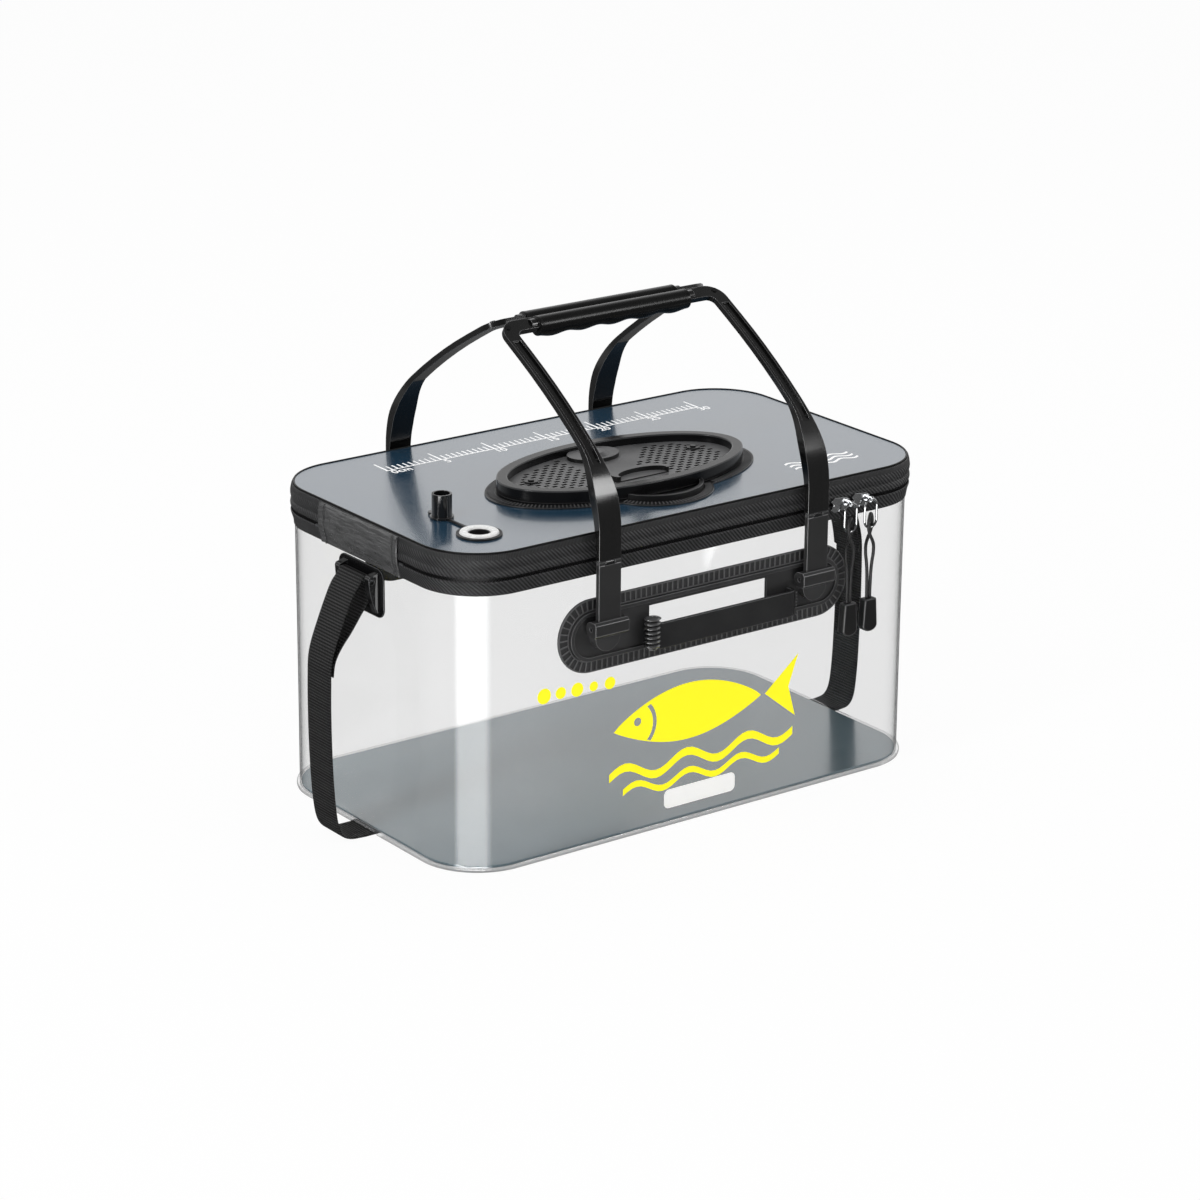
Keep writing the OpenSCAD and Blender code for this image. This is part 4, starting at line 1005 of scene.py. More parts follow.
@dataclass(frozen=True)
class Outline:
    """The wall's rounded rectangle, walked anticlockwise from the middle of the left end."""

    half_l: float
    half_w: float
    corner: float
    corner_steps: int = 22

    def stations(self, step: float = 8 * MM) -> list[Station]:
        """Even stations round the wall.

        Args:
            step: The distance between stations on the straight sides.

        Returns:
            The stations.
        """
        sl, sw = self.half_l - self.corner, self.half_w - self.corner
        spots: list[tuple[Vector, Vector]] = []
        middle = previous = Vector((-self.half_l, 0, 0))

        def straight(end: Vector, way: Vector) -> None:
            """Adds even stations from the last corner up to a point.

            Args:
                end: The point.
                way: The way outwards there.
            """
            count = max(1, round((end - previous).length / step))
            spots.extend((previous.lerp(end, k / count), way) for k in range(count))

        for cx, cy, first in ((-sl, -sw, 180), (sl, -sw, 270), (sl, sw, 0), (-sl, sw, 90)):
            centre = Vector((cx, cy, 0))
            steps = self.corner_steps
            angles = [math.radians(first + 90 * k / steps) for k in range(steps + 1)]
            ways = [Vector((math.cos(a), math.sin(a), 0)) for a in angles]
            straight(centre + self.corner * ways[0], ways[0])
            spots += [(centre + self.corner * way, way) for way in ways[:-1]]
            previous = centre + self.corner * ways[-1]
        straight(middle, Vector((-1, 0, 0)))
        walked = running([place for place, _ in spots], True)
        return [Station(place, out, w) for (place, out), w in zip(spots, walked)]

    def swept(self, name: str, profile: Sequence[Point2],
              shift: Callable[[Station, int], float] | None = None, step: float = 8 * MM) -> bpy.types.Mesh:
        """Sweeps a closed profile round the wall.

        Args:
            name: The mesh's name.
            profile: Points of distance out and height.
            shift: Extra distance out at a station and a point of the profile.
            step: The distance between stations on the straight sides.

        Returns:
            The mesh.
        """
        spots = self.stations(step)
        rows = [[s.at(out + (shift(s, j) if shift else 0.0), z) for j, (out, z) in enumerate(profile)]
                for s in spots]
        around = [s.walked for s in spots]
        around.append(around[-1] + (spots[-1].place - spots[0].place).length)
        return grid_mesh(name, rows, True, around)

    def path(self, out: float, z: float, keep: Callable[[Station], bool] | None = None) -> list[PathPoint]:
        """A path round the wall for small repeated forms, at the stations to keep."""
        return [PathPoint(s.at(out, z), s.out) for s in self.stations() if keep is None or keep(s)]


def wall_outline() -> Outline:
    """The outline, measured from the frame's wall; only its corner radius is given."""
    low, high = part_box("wall_shell")
    return Outline((high.x - low.x) / 2, (high.y - low.y) / 2, 48.5 * MM)


def in_mm(points: Sequence[Point2]) -> list[Point2]:
    """Millimetre pairs as metres."""
    return [(a * MM, b * MM) for a, b in points]


def soft_noise(place: Vector, scale: float, seed: float = 0.0) -> float:
    """Smooth noise from -1 to 1 at a place, with cells of 1/scale metres."""
    return noise.noise(place * scale + Vector((seed, seed * 0.7, -seed)))


@dataclass(frozen=True)
class Puckers:
    """Small puckers of sewn cloth over the first points of a profile."""

    profile: Sequence[Point2]
    reach: int
    still_from: int
    depth: float
    cells: float
    seed: float = 0.0
    sink: float = 0.0

    def __call__(self, s: Station, j: int) -> float:
        """The cloth's extra distance out.

        Args:
            s: The station.
            j: The point of the profile.

        Returns:
            The distance.
        """
        if j >= self.still_from:
            return 0.0
        share = math.sin(math.pi * j / self.reach)
        place = Vector((s.walked, self.profile[j][1] * 2, 0))
        return self.depth * share * (soft_noise(place, self.cells, self.seed) - self.sink)


# ------------------------------------------------------------------ the tub


@dataclass
class Assembly:
    """What each sub-assembly is built with: the wall's outline, and what stands small forms."""

    outline: Outline
    blocks: Repeater
    beads: Repeater


@dataclass
class Tub(Assembly):
    """The clear wall, its floor, its foot bead, the rim band and the two end straps."""

    wall_t: float = 1.2 * MM
    floor_t: float = 2.0 * MM
    bead_h: float = 4.0 * MM
    bead_out: float = 2.3 * MM
    bead_ledge: float = 8.0 * MM
    strap_w: float = 32.0 * MM
    strap_t: float = 1.7 * MM

    def build(self) -> None:
        """Makes every piece of the tub."""
        self.wall()
        self.floor()
        self.foot_bead()
        self.rim_band()
        zip_row("zip_lower", self.outline, self.blocks, Body.TUB, 0)
        self.strap("left_strap", 39.4, -1)
        self.strap("right_strap", 28.0, 1)
        refined("strap_bases", 0.5 * MM, Looks.GLOSS, Body.TUB, "gloss_moulding")
        self.base_ribs()
        for node in ("strap_bars", "collar_pins", "rim_hoop", "zip_stops"):
            dress(node, Looks.STEEL)

    def wall(self) -> None:
        """The clear wall, a shell with slow ripples inwards, whose inner faces are marked."""
        low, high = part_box("wall_shell")
        rows, depth = 18, 0.45 * MM
        span = high.z - low.z
        outer = [(0.0, low.z + span * k / rows) for k in range(rows + 1)]
        profile = [*outer, *[(-self.wall_t, z) for _, z in reversed(outer)]]

        def ripple(s: Station, j: int) -> float:
            """Slow dents of the soft sheet, none at its welded edges.

            Args:
                s: The station.
                j: The point of the profile.

            Returns:
                The extra distance out.
            """
            height = (profile[j][1] - low.z) / span
            place = Vector((s.walked, 0.0, profile[j][1] * 0.35))
            return -depth * math.sin(math.pi * height) * (0.5 + 0.5 * soft_noise(place, 9.0))

        mesh = self.outline.swept("wall", profile, ripple)
        inner = mesh.attributes.new("inner", "FLOAT", "FACE")
        for face in mesh.polygons:
            outwards = face.normal.x * face.center.x + face.normal.y * face.center.y
            inner.data[face.index].value = 0.0 if outwards > 0 else 1.0
        piece("clear_wall", mesh, Looks.WALL, Body.TUB, ["wall_shell"])

    def floor(self) -> None:
        """The floor's sheet with a rounded edge, and the stiff board under it."""
        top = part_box("floor_panel")[1].z
        edge, under, board = 0.5 * MM, 2.0 * MM, 13.5 * MM
        rim = -self.wall_t - 0.1 * MM
        profile = [(-board - edge, 0.0), (-board, edge), (-board, under), (-self.wall_t - edge, under),
                   (rim, under + edge), (rim, top - edge), (-self.wall_t - edge, top)]
        mesh = solid_panel("floor", self.outline, profile)
        piece("floor", mesh, Looks.FLOOR, Body.TUB, ["floor_panel"])

    def foot_bead(self) -> None:
        """The clear bead round the foot, notched where each strap passes under."""
        notch = self.strap_w / 2 + 0.5 * MM
        floor_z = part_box("floor_panel")[1].z - self.floor_t
        steps, step, half, reach = 6, 3 * MM, self.bead_h / 2, 0.7 * MM
        angles = [math.radians(-90 + 180 * k / steps) for k in range(steps + 1)]
        round_side = [(self.bead_out - reach + reach * math.cos(a), half + half * math.sin(a))
                      for a in angles]
        profile = [(-self.bead_ledge, 0.0), *round_side, (0.02 * MM, self.bead_h), (0.02 * MM, floor_z),
                   (-self.bead_ledge, floor_z)]
        spots = self.outline.stations(step)
        rows = []
        for s in spots:
            under_strap = abs(s.out.x) > 0.99 and abs(s.place.y) < notch
            lift = floor_z + 0.05 * MM if under_strap else 0.0
            rows.append([s.at(out, max(z, lift)) for out, z in profile])
        around = [s.walked for s in spots] + [spots[-1].walked + step]
        mesh = grid_mesh("foot_bead", rows, True, around)
        piece("foot_bead", mesh, Looks.BEAD, Body.TUB, ["base_bead"])

    def rim_band(self) -> None:
        """The twill band round the mouth, puffed between its seams."""
        outer = catmull([(.75, 214.55), (1, 216.4), (1.5, 219.6), (2.3, 222.4), (3, 224.7),
                         (2.5, 225.7)], 3)
        inner = [(-4.7, 225.2), (-4.7, 219.5), (-1.2, 219.5), (-1.2, 224), (.02, 224), (.02, 214.5)]
        profile = in_mm([*outer, *inner])
        puckers = Puckers(profile, len(outer) - 1, len(outer), 0.35 * MM, 55.0, 3.1)
        mesh = self.outline.swept("rim_band", profile, puckers, 5 * MM)
        piece("rim_band_cloth", mesh, Looks.BAND, Body.TUB, ["rim_band"])

    def strap(self, node: str, bulge: float, side: int) -> None:
        """One webbing strap: from under the floor out and up, round its bar and back to its seam.

        Args:
            node: The frame's node.
            bulge: How far it bulges out, in millimetres.
            side: -1 for the left end, 1 for the right.
        """
        bar = 203.6
        under = [(-12, .95), (2, .95), (.35 * bulge, 1.1), (.66 * bulge, 3), (.84 * bulge, 11)]
        up = [(.93 * bulge, 30), (.98 * bulge, 60), (bulge, 92), (.995 * bulge, 124), (.955 * bulge, 146),
              (.76 * bulge, 168), (6 + .33 * bulge, bar - 11), (7 + .15 * bulge, bar - 2.6)]
        over = [(10, bar + 1.6), (8.4, bar + 2.8), (6.4, bar + 3.1), (4.3, bar + 2.2), (3.4, bar - .6),
                (3, bar - 5), (3.3, bar - 11)]
        down = [(4 + .05 * bulge, bar - 18), (3.4 + .25 * bulge, bar - 28), (2 + .47 * bulge, bar - 38),
                (.75 * bulge, bar - 49), (bulge - 4.4, bar - 59), (bulge - 2.6, bar - 70)]
        route = [*under, *up, *over, *down]
        line = resample([Vector((a * MM, 0, b * MM)) for a, b in catmull(route, 8)], 0.5 * MM)
        columns, dip, narrow, thin_edge = 14, 0.16 * MM, 0.25 * MM, 0.35
        rows = []
        for i, point in enumerate(line):
            ahead = (line[min(i + 1, len(line) - 1)] - line[max(i - 1, 0)]).normalized()
            off = Vector((-ahead.z, 0, ahead.x))
            valley = 1 - (0.5 + 0.5 * math.cos(math.pi * i / 2))
            thick = self.strap_t / 2 - dip * valley
            edge = self.strap_w / 2 - narrow * valley
            ring = []
            for face in (1, -1):
                for k in range(columns + 1):
                    y = edge * (1 - 2 * k / columns) * face
                    round_off = thin_edge if k in (0, columns) else 1.0
                    ring.append(point + off * thick * face * round_off + Vector((0, y, 0)))
            rows.append(ring)
        turn = Matrix.Diagonal((side, side, 1, 1))
        reach = Vector((self.outline.half_l, 0, 0))
        mesh = grid_mesh(node, [[turn @ (p + reach) for p in row] for row in rows], False)
        piece(node + "_webbing", mesh, Looks.WEBBING, Body.TUB, [node])
        self.strap_stitches(node, line, turn, reach)

    def strap_stitches(self, node: str, line: list[Vector], turn: Matrix, reach: Vector) -> None:
        """Two rows of thread across the strap where it is sewn to itself.

        Args:
            node: The frame's node.
            line: The middle of the strap, on the right-hand end.
            turn: Turns that end to the strap's own.
            reach: The way from the middle of the bucket to its end.
        """
        half = Vector((0, self.strap_w / 2 - 2 * MM, 0))
        paths = []
        for share in (0.27, 0.285):
            index = round(share * len(line))
            ahead = (line[index + 1] - line[index - 1]).normalized()
            off = Vector((ahead.z, 0, -ahead.x))
            start = turn @ (line[index] + off * (self.strap_t / 2) + reach)
            across, up = turn.to_3x3() @ half, turn.to_3x3() @ off
            paths.append([PathPoint(start + across * t, up) for t in (-1, 0, 1)])
        size = (2.2 * MM, 0.5 * MM, 0.4 * MM)
        mesh = self.beads.along(node + "_seam", paths, 3 * MM, size, Looks.THREAD, False)
        piece(node + "_seam", mesh, Looks.THREAD, Body.TUB)

    def base_ribs(self) -> None:
        """The ribs round the flange of each strap's base."""
        centre_z, face = 194.0 * MM, self.outline.half_l + 1.4 * MM
        ring = rounded_loop(27.0 * MM, 16.0 * MM, 6.0 * MM)
        paths = [[PathPoint(Vector((side * face, y, centre_z + z)), Vector((side, 0, 0))) for y, z in ring]
                 for side in (-1, 1)]
        size = (0.9 * MM, 4.4 * MM, 0.9 * MM)
        mesh = self.blocks.along("strap_base_ribs", paths, 2.6 * MM, size, Looks.GLOSS)
        piece("strap_base_ribs", mesh, Looks.GLOSS, Body.TUB)


def resample(line: Sequence[Vector], step: float) -> list[Vector]:
    """Even points along a line.

    Args:
        line: The line.
        step: About how far apart the points are.

    Returns:
        The points.
    """
    walked = running(line, False)
    count = max(2, round(walked[-1] / step))
    points, k = [], 0
    for i in range(count + 1):
        wanted = walked[-1] * i / count
        while k < len(walked) - 2 and walked[k + 1] < wanted:
            k += 1
        share = (wanted - walked[k]) / max(walked[k + 1] - walked[k], 1e-9)
        points.append(line[k].lerp(line[k + 1], min(share, 1.0)))
    return points


def rounded_loop(half_a: float, half_b: float, radius: float, steps: int = 8) -> list[Point2]:
    """Points round a rounded rectangle.

    Args:
        half_a: Half of its length.
        half_b: Half of its height.
        radius: The corners' radius.
        steps: Steps round each corner.

    Returns:
        The points.
    """
    loop = []
    long, tall = half_a - radius, half_b - radius
    for sa, sb, first in ((1, -1, 270), (1, 1, 0), (-1, 1, 90), (-1, -1, 180)):
        for k in range(steps + 1):
            a = math.radians(first + 90 * k / steps)
            loop.append((sa * long + radius * math.cos(a), sb * tall + radius * math.sin(a)))
    return loop


def solid_panel(name: str, outline: Outline, edge: Sequence[Point2]) -> bpy.types.Mesh:
    """A flat panel that fills the outline, closed level with the first and last points of its edge.

    Args:
        name: The mesh's name.
        outline: The wall's outline.
        edge: Points of distance out and height.

    Returns:
        The mesh.
    """
    rows = [[s.at(out, z) for out, z in edge] for s in outline.stations()]
    count, width = len(rows), len(edge)
    faces = []
    for i in range(count):
        here, after = i * width, ((i + 1) % count) * width
        faces += [(here + j, after + j, after + j + 1, here + j + 1) for j in range(width - 1)]
    faces.append(tuple(i * width for i in range(count)))
    faces.append(tuple(i * width + width - 1 for i in reversed(range(count))))
    mesh = bpy.data.meshes.new(name)
    mesh.from_pydata([p for row in rows for p in row], [], faces)
    return smooth_mesh(mesh)


def zip_row(node: str, outline: Outline, blocks: Repeater, body: Body, first: int) -> None:
    """A row of zip teeth, and the tape behind them, at the height of its node.

    Args:
        node: The frame's node.
        outline: The wall's outline.
        blocks: Stands the teeth.
        body: The body that it moves with.
        first: The station where the teeth start, which sets the two rows off from each other.
    """
    z = sum(corner.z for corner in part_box(node)) / 2
    low, high, back, front = z - ZIP_ROW_H / 2, z + ZIP_ROW_H / 2, 0.4 * MM, 1.5 * MM
    name = node + "_teeth"
    tape = outline.swept(name + "_tape", [(back, low), (front, low), (front, high), (back, high)])
    path = outline.path(1.75 * MM, z)
    size = (1.1 * MM, 0.5 * MM, ZIP_ROW_H)
    teeth = blocks.along(name, [path[first:] + path[:first]], 2.2 * MM, size, Looks.TEETH)
    piece(name, join_into(teeth, tape), Looks.TEETH, body, [node])


# ------------------------------------------------------------------ the lid


@dataclass
class Lid(Assembly):
    """The coated lid, its band, piping, hinge strip, ruler, vent and air port."""

    top: float = field(default_factory=lambda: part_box("lid_panel")[1].z)
    lid_t: float = 2.5 * MM
    vent: Vector = field(default_factory=lambda: Vector((-4 * MM, -27 * MM, 0)))
    open_a: float = 99.8 * MM
    open_b: float = 49.3 * MM
    flange_a: float = 113.6 * MM
    flange_b: float = 60.6 * MM
    lobe: Vector = field(default_factory=lambda: Vector((-4 * MM, -72 * MM, 0)))
    lobe_a: float = 41 * MM
    lobe_b: float = 36 * MM
    hinge_half: float = 51.0 * MM
    ink: float = 0.12 * MM

    def build(self) -> None:
        """Makes every piece of the lid."""
        self.panel()
        self.band()
        self.piping()
        self.hinge_strip()
        zip_row("zip_upper", self.outline, self.blocks, Body.LID, 1)
        self.ruler()
        self.waves()
        self.vent_frame()
        self.port()
        self.tether()
        for node in ("lid_hoop", "vent_hinge_pin"):
            dress(node, Looks.STEEL)

    def panel(self) -> None:
        """The lid's panel, with the vent's oval and the port's round hole cut out."""
        hole, inset = 9.5 * MM, 0.55 * MM
        edge = [s.at(-inset, 0).xy.to_tuple() for s in self.outline.stations()]
        holes = [ring_points(self.vent, self.open_a, self.open_b, 96),
                 ring_points(port_centre(), hole, hole, 40)]
        mesh = flat_solid("lid_panel", [edge, *holes], self.lid_t, self.top - self.lid_t / 2)
        piece("lid_sheet", mesh, Looks.LID, Body.LID, ["lid_panel"])

    def band(self) -> None:
        """The twill band of the lid, two soft rolls with a crease between."""
        base = self.top * 1000 - 17.8
        outer = catmull([(2.5, base - .45), (3.1, base + .5), (3.2, base + 2.2), (2.9, base + 4),
                         (2.2, base + 5.3), (2.5, base + 6.6), (3.1, base + 9), (3.15, base + 11.4),
                         (2.7, base + 14.2), (1.8, base + 17), (.9, base + 17.2), (-.45, base + 17.2)], 3)
        profile = in_mm([*outer, (-.5, base + 15.3), (-2, base + 15.3), (-2, base)])
        puckers = Puckers(profile, len(outer), len(outer) - 4, 0.4 * MM, 48.0, sink=0.2)
        mesh = self.outline.swept("lid_band", profile, puckers, 5 * MM)
        piece("lid_band_cloth", mesh, Looks.BAND, Body.LID, ["lid_band"])
        ring = self.outline.path(1.75 * MM, self.top - 4.4 * MM, self.off_hinge)
        size = (2.2 * MM, 0.5 * MM, 0.45 * MM)
        mesh = self.beads.along("lid_band_stitches", [ring], 3.2 * MM, size, Looks.THREAD, False)
        piece("lid_band_stitches", mesh, Looks.THREAD, Body.LID)

    def off_hinge(self, s: Station) -> bool:
        """Whether a station lies clear of the hinge strip."""
        return not (s.out.x < -0.99 and abs(s.place.y) < self.hinge_half)

    def piping(self) -> None:
        """The round piping along the lid's top edge."""
        radius, sides = 0.7 * MM, 10
        out, z = 0.3 * MM, self.top - 0.6 * MM + radius
        angles = [2 * math.pi * k / sides for k in range(sides)]
        profile = [(out + radius * math.cos(a), z + radius * math.sin(a)) for a in angles]
        mesh = self.outline.swept("lid_piping", profile)
        piece("lid_edge_piping", mesh, Looks.PIPING, Body.LID, ["lid_piping"])

    def hinge_strip(self) -> None:
        """The sheet sewn over both bands at the left end."""
        split = self.top * 1000 - 19.6
        line = catmull([(.75, 214.5), (1.3, 218.6), (2.6, 223), (3.3, split), (3.6, split + 3.6),
                        (3.5, split + 9), (3.4, split + 13), (2.9, split + 16.6), (2.1, split + 18.6)], 5)
        half, end_roll, roll_h = self.hinge_half + 1.6 * MM, 2.4 * MM, 1.0 * MM
        spots = [s for s in self.outline.stations(3 * MM) if s.out.x < -0.999 and abs(s.place.y) <= half]
        spots.sort(key=lambda s: -s.place.y)
        thick, dent_h, clear, seam_r, seam_out = 0.85 * MM, 0.45 * MM, 0.03 * MM, 0.75 * MM, 0.25 * MM
        rows = []
        for s in spots:
            near_end = max(0.0, 1 - (half - abs(s.place.y)) / end_roll)
            roll = roll_h * math.sin(math.pi * min(near_end, 1.0) ** 0.7)
            outside, inside = [], []
            for a, b in line:
                dent = dent_h * soft_noise(Vector((0, s.place.y * 0.7, b * MM * 2.4)), 60.0, 5.0)
                outside.append(s.at(a * MM + thick + roll + dent, b * MM))
                inside.append(s.at(a * MM + clear, b * MM))
            rows.append([*outside, *reversed(inside)])
        across = [s.place.y for s in spots]
        mesh = grid_mesh("hinge_strip", rows, False, [across[0] - y for y in across])
        for row in (rows[2], rows[-3]):
            seam = [p + Vector((-seam_out, 0, 0)) for p in row[:len(line)]]
            join_into(mesh, tube_mesh("hinge_seam", seam, seam_r, 8))
        made = linked("hinge_strip_sheet", mesh, Looks.HINGE)
        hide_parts("hinge_strip_lower", "hinge_strip_upper")
        (split - 2.2) * MM
        (split + 2.2) * MM
        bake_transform(made)
        LOG.info("hinge_strip_sheet: %d faces between tub and lid", len(mesh.polygons))

    def ruler(self) -> None:
        """The white scale of 30 centimetres, with its numbers, printed on the lid."""
        zero, unit, longs = -142.6 * MM, 50.0 * MM, 6
        base_y, stroke = 85.0 * MM, 1.3 * MM
        z = self.top + self.ink / 2
        length = longs * unit
        line = [PathPoint(Vector((zero + length / 2 + x, base_y, z)), UP) for x in (-0.5 * MM, 0.5 * MM)]
        size = (length + stroke, 1.2 * MM, self.ink)
        parts = [self.blocks.along("ruler_line", [line], 1.0, size, Looks.WHITE_INK, False)]
        for step, height in ((5 * MM, 9.5 * MM), (unit, 18.8 * MM)):
            ends = [PathPoint(Vector((zero + x, base_y + height / 2, z)), UP) for x in (0.0, length)]
            size = (stroke, height, self.ink)
            parts.append(self.blocks.along("ruler_ticks", [ends], step, size, Looks.WHITE_INK, False))
        for k in range(longs + 1):
            words, shift = (str(5 * k), 2.0 * MM) if k else ("0cm", 9.5 * MM)
            place = Vector((zero + unit * k + shift, base_y - 8.8 * MM, self.top))
            parts.append(lettering(words, place, 10.5 * MM, self.ink))
        piece("lid_ruler", join_into(*parts), Looks.WHITE_INK, Body.LID)

    def waves(self) -> None:
        """Three plain wavy lines printed at the lid's right end."""
        waves = [wave_strip(145.5, -92 + 6.5 * k, 62, 2.4) for k in range(3)]
        mesh = flat_solid("lid_waves", waves, self.ink, self.top + self.ink / 2)
        piece("lid_wave_print", mesh, Looks.WHITE_INK, Body.LID)

    def vent_frame(self) -> None:
        """The vent's welded frame with its ribs, and its lift-up hatch."""
        refined("vent_base", 0.35 * MM, Looks.SOFT, Body.LID, "black_moulding")
        refined("hatch_ring", 1.1 * MM, Looks.GLOSS, Body.HATCH, "gloss_moulding")
        refined("hatch_clips", 0.25 * MM, Looks.GLOSS, Body.HATCH, "gloss_moulding")
        dress("hatch_mesh", Looks.MESH)
        rim = self.ribs_path(ring_points(self.vent, self.flange_a, self.flange_b, 120), self.lobe,
                             self.lobe_a + 3 * MM, self.lobe_b + 3 * MM)
        front = self.ribs_path(ring_points(self.lobe, self.lobe_a, self.lobe_b, 72), self.vent,
                               114 * MM, 60 * MM)
        size = (0.8 * MM, 5.6 * MM, 1.05 * MM)
        # The ribs are in the lighter rib finish, a painted highlight on their ridges
        mesh = self.blocks.along("vent_flange_ribs", [rim, front], 2.9 * MM, size, Looks.RIB, False)
        piece("vent_flange_ribs", mesh, Looks.RIB, Body.LID)

    def ribs_path(self, oval: Sequence[Point2], other: Vector, a: float, b: float) -> list[PathPoint]:
        """The part of one oval of the vent's flange that lies outside another.

        Args:
            oval: Points of the oval.
            other: The middle of the other oval.
            a: Half of its length.
            b: Half of its width.

        Returns:
            The path, from one side of the gap to the other.
        """
        z = self.top + 1.2 * MM
        return unbroken([PathPoint(Vector((x, y, z)), UP) for x, y in oval
                         if ((x - other.x) / a) ** 2 + ((y - other.y) / b) ** 2 >= 1])

    def port(self) -> None:
        """The air port, its eyelet and the stopper."""
        refined("port_base", 0.3 * MM, Looks.SOFT, Body.LID, "soft_moulding")
        refined("port_eyelet", 0.25 * MM, Looks.EYELET, Body.LID, "white_eyelet")
        refined("plug", 0.35 * MM, Looks.POLISHED, Body.STOPPER, "soft_moulding")

    def tether(self) -> None:
        """The stopper's tether, slimmer at its middle."""
        root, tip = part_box("tether_root"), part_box("tether_tip")
        x, half_w = (root[0].x + root[1].x) / 2, (root[1].x - root[0].x) / 2
        low, high = root[0].z, root[1].z
        start, end = root[0].y, tip[1].y
        count, sides, slimming, squareness = 24, 16, 0.22, 0.5
        angles = [2 * math.pi * j / sides for j in range(sides)]
        squared = [tuple(math.copysign(abs(c) ** squareness, c) for c in (math.cos(a), math.sin(a)))
                   for a in angles]
        rows = []
        for k in range(count + 1):
            y = start + (end - start) * k / count
            slim = 1 - slimming * math.sin(math.pi * k / count)
            rows.append([Vector((x + half_w * slim * c, y, (low + high) / 2 + (high - low) / 2 * s))
                         for c, s in squared])
        mesh = grid_mesh("tether", rows, False)
        made = linked("stopper_tether", mesh, Looks.SOFT)
        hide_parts("tether_root", "tether_tip")
        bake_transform(made)
        LOG.info("stopper_tether: %d faces between lid and stopper", len(mesh.polygons))


def port_centre() -> Vector:
    """The middle of the air port, seen from above."""
    low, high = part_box("port_base")
    return Vector(((low.x + high.x) / 2, (low.y + high.y) / 2, 0))


def ring_points(centre: Vector, a: float, b: float, count: int) -> list[Point2]:
    """Points of an oval."""
    return [(centre.x + a * math.cos(t), centre.y + b * math.sin(t))
            for t in (2 * math.pi * k / count for k in range(count))]


def unbroken(points: list[PathPoint]) -> list[PathPoint]:
    """Turns a loop that was cut open so that its gap lies at its ends.

    Args:
        points: The loop that is left.

    Returns:
        The same points as a path.
    """
    gaps = [(points[i].place - points[i - 1].place).length for i in range(len(points))]
    start = max(range(len(points)), key=lambda i: gaps[i])
    return points[start:] + points[:start]


def flat_solid(name: str, outlines: Sequence[Sequence[Point2]], thickness: float,
               z: float) -> bpy.types.Mesh:
    """A flat solid about a height, from closed outlines; an outline inside another is a hole.

    Args:
        name: The mesh's name.
        outlines: The outlines.
        thickness: The solid's thickness.
        z: The height of its middle.

    Returns:
        The mesh.
    """
    curve = bpy.data.curves.new(name, "CURVE")
    curve.dimensions = "2D"
    curve.fill_mode = "BOTH"
    curve.extrude = thickness / 2
    for outline in outlines:
        spline = curve.splines.new("POLY")
        spline.points.add(len(outline) - 1)
        for point, (x, y) in zip(spline.points, outline):
            point.co = (x, y, 0, 1)
        spline.use_cyclic_u = True
    mesh = curve_mesh(name, curve)
    mesh.transform(Matrix.Translation((0, 0, z)))
    return mesh


def curve_mesh(name: str, curve: bpy.types.Curve) -> bpy.types.Mesh:
    """Turns a flat curve or text into a closed mesh.

    Args:
        name: The mesh's name.
        curve: The curve or text.

    Returns:
        The mesh.
    """
    holder = linked(name, curve)
    shown = holder.evaluated_get(bpy.context.evaluated_depsgraph_get())
    mesh = bpy.data.meshes.new_from_object(shown)
    bpy.data.objects.remove(holder)
    return smooth_mesh(mesh, 1e-6)


def lettering(words: str, place: Vector, size: float, thickness: float) -> bpy.types.Mesh:
    """Generic plain numerals, printed flat and centred on a place.

    Args:
        words: The numerals.
        place: Their middle, at the foot of their line.
        size: Their size.
        thickness: The ink's thickness.

    Returns:
        The mesh.
    """
    text = bpy.data.curves.new("numeral", "FONT")
    text.body = words
    text.size = size
    text.align_x = "CENTER"
    text.extrude = thickness / 2
    text.offset = 0.012 * size
    mesh = curve_mesh("numeral", text)
    mesh.transform(Matrix.Translation(place + Vector((0, 0, thickness / 2))))
    return mesh


def wave_strip(x: float, y: float, length: float, width: float) -> list[Point2]:
    """The outline of a wavy strip, from millimetres to metres.

    Args:
        x: The strip's middle along x.
        y: Its middle across.
        length: Its length.
        width: Its width.

    Returns:
        The outline.
    """
    steps, crests, rise = 36, 3, 0.9 * width
    line = [(x - length / 2 + length * k / steps, y + rise * math.sin(2 * math.pi * crests * k / steps))
            for k in range(steps + 1)]
    upper = [(a, b + width / 2) for a, b in line]
    lower = [(a, b - width / 2) for a, b in reversed(line)]
    return in_mm([*upper, *lower])


# ------------------------------------------------------------------ prints on the front wall


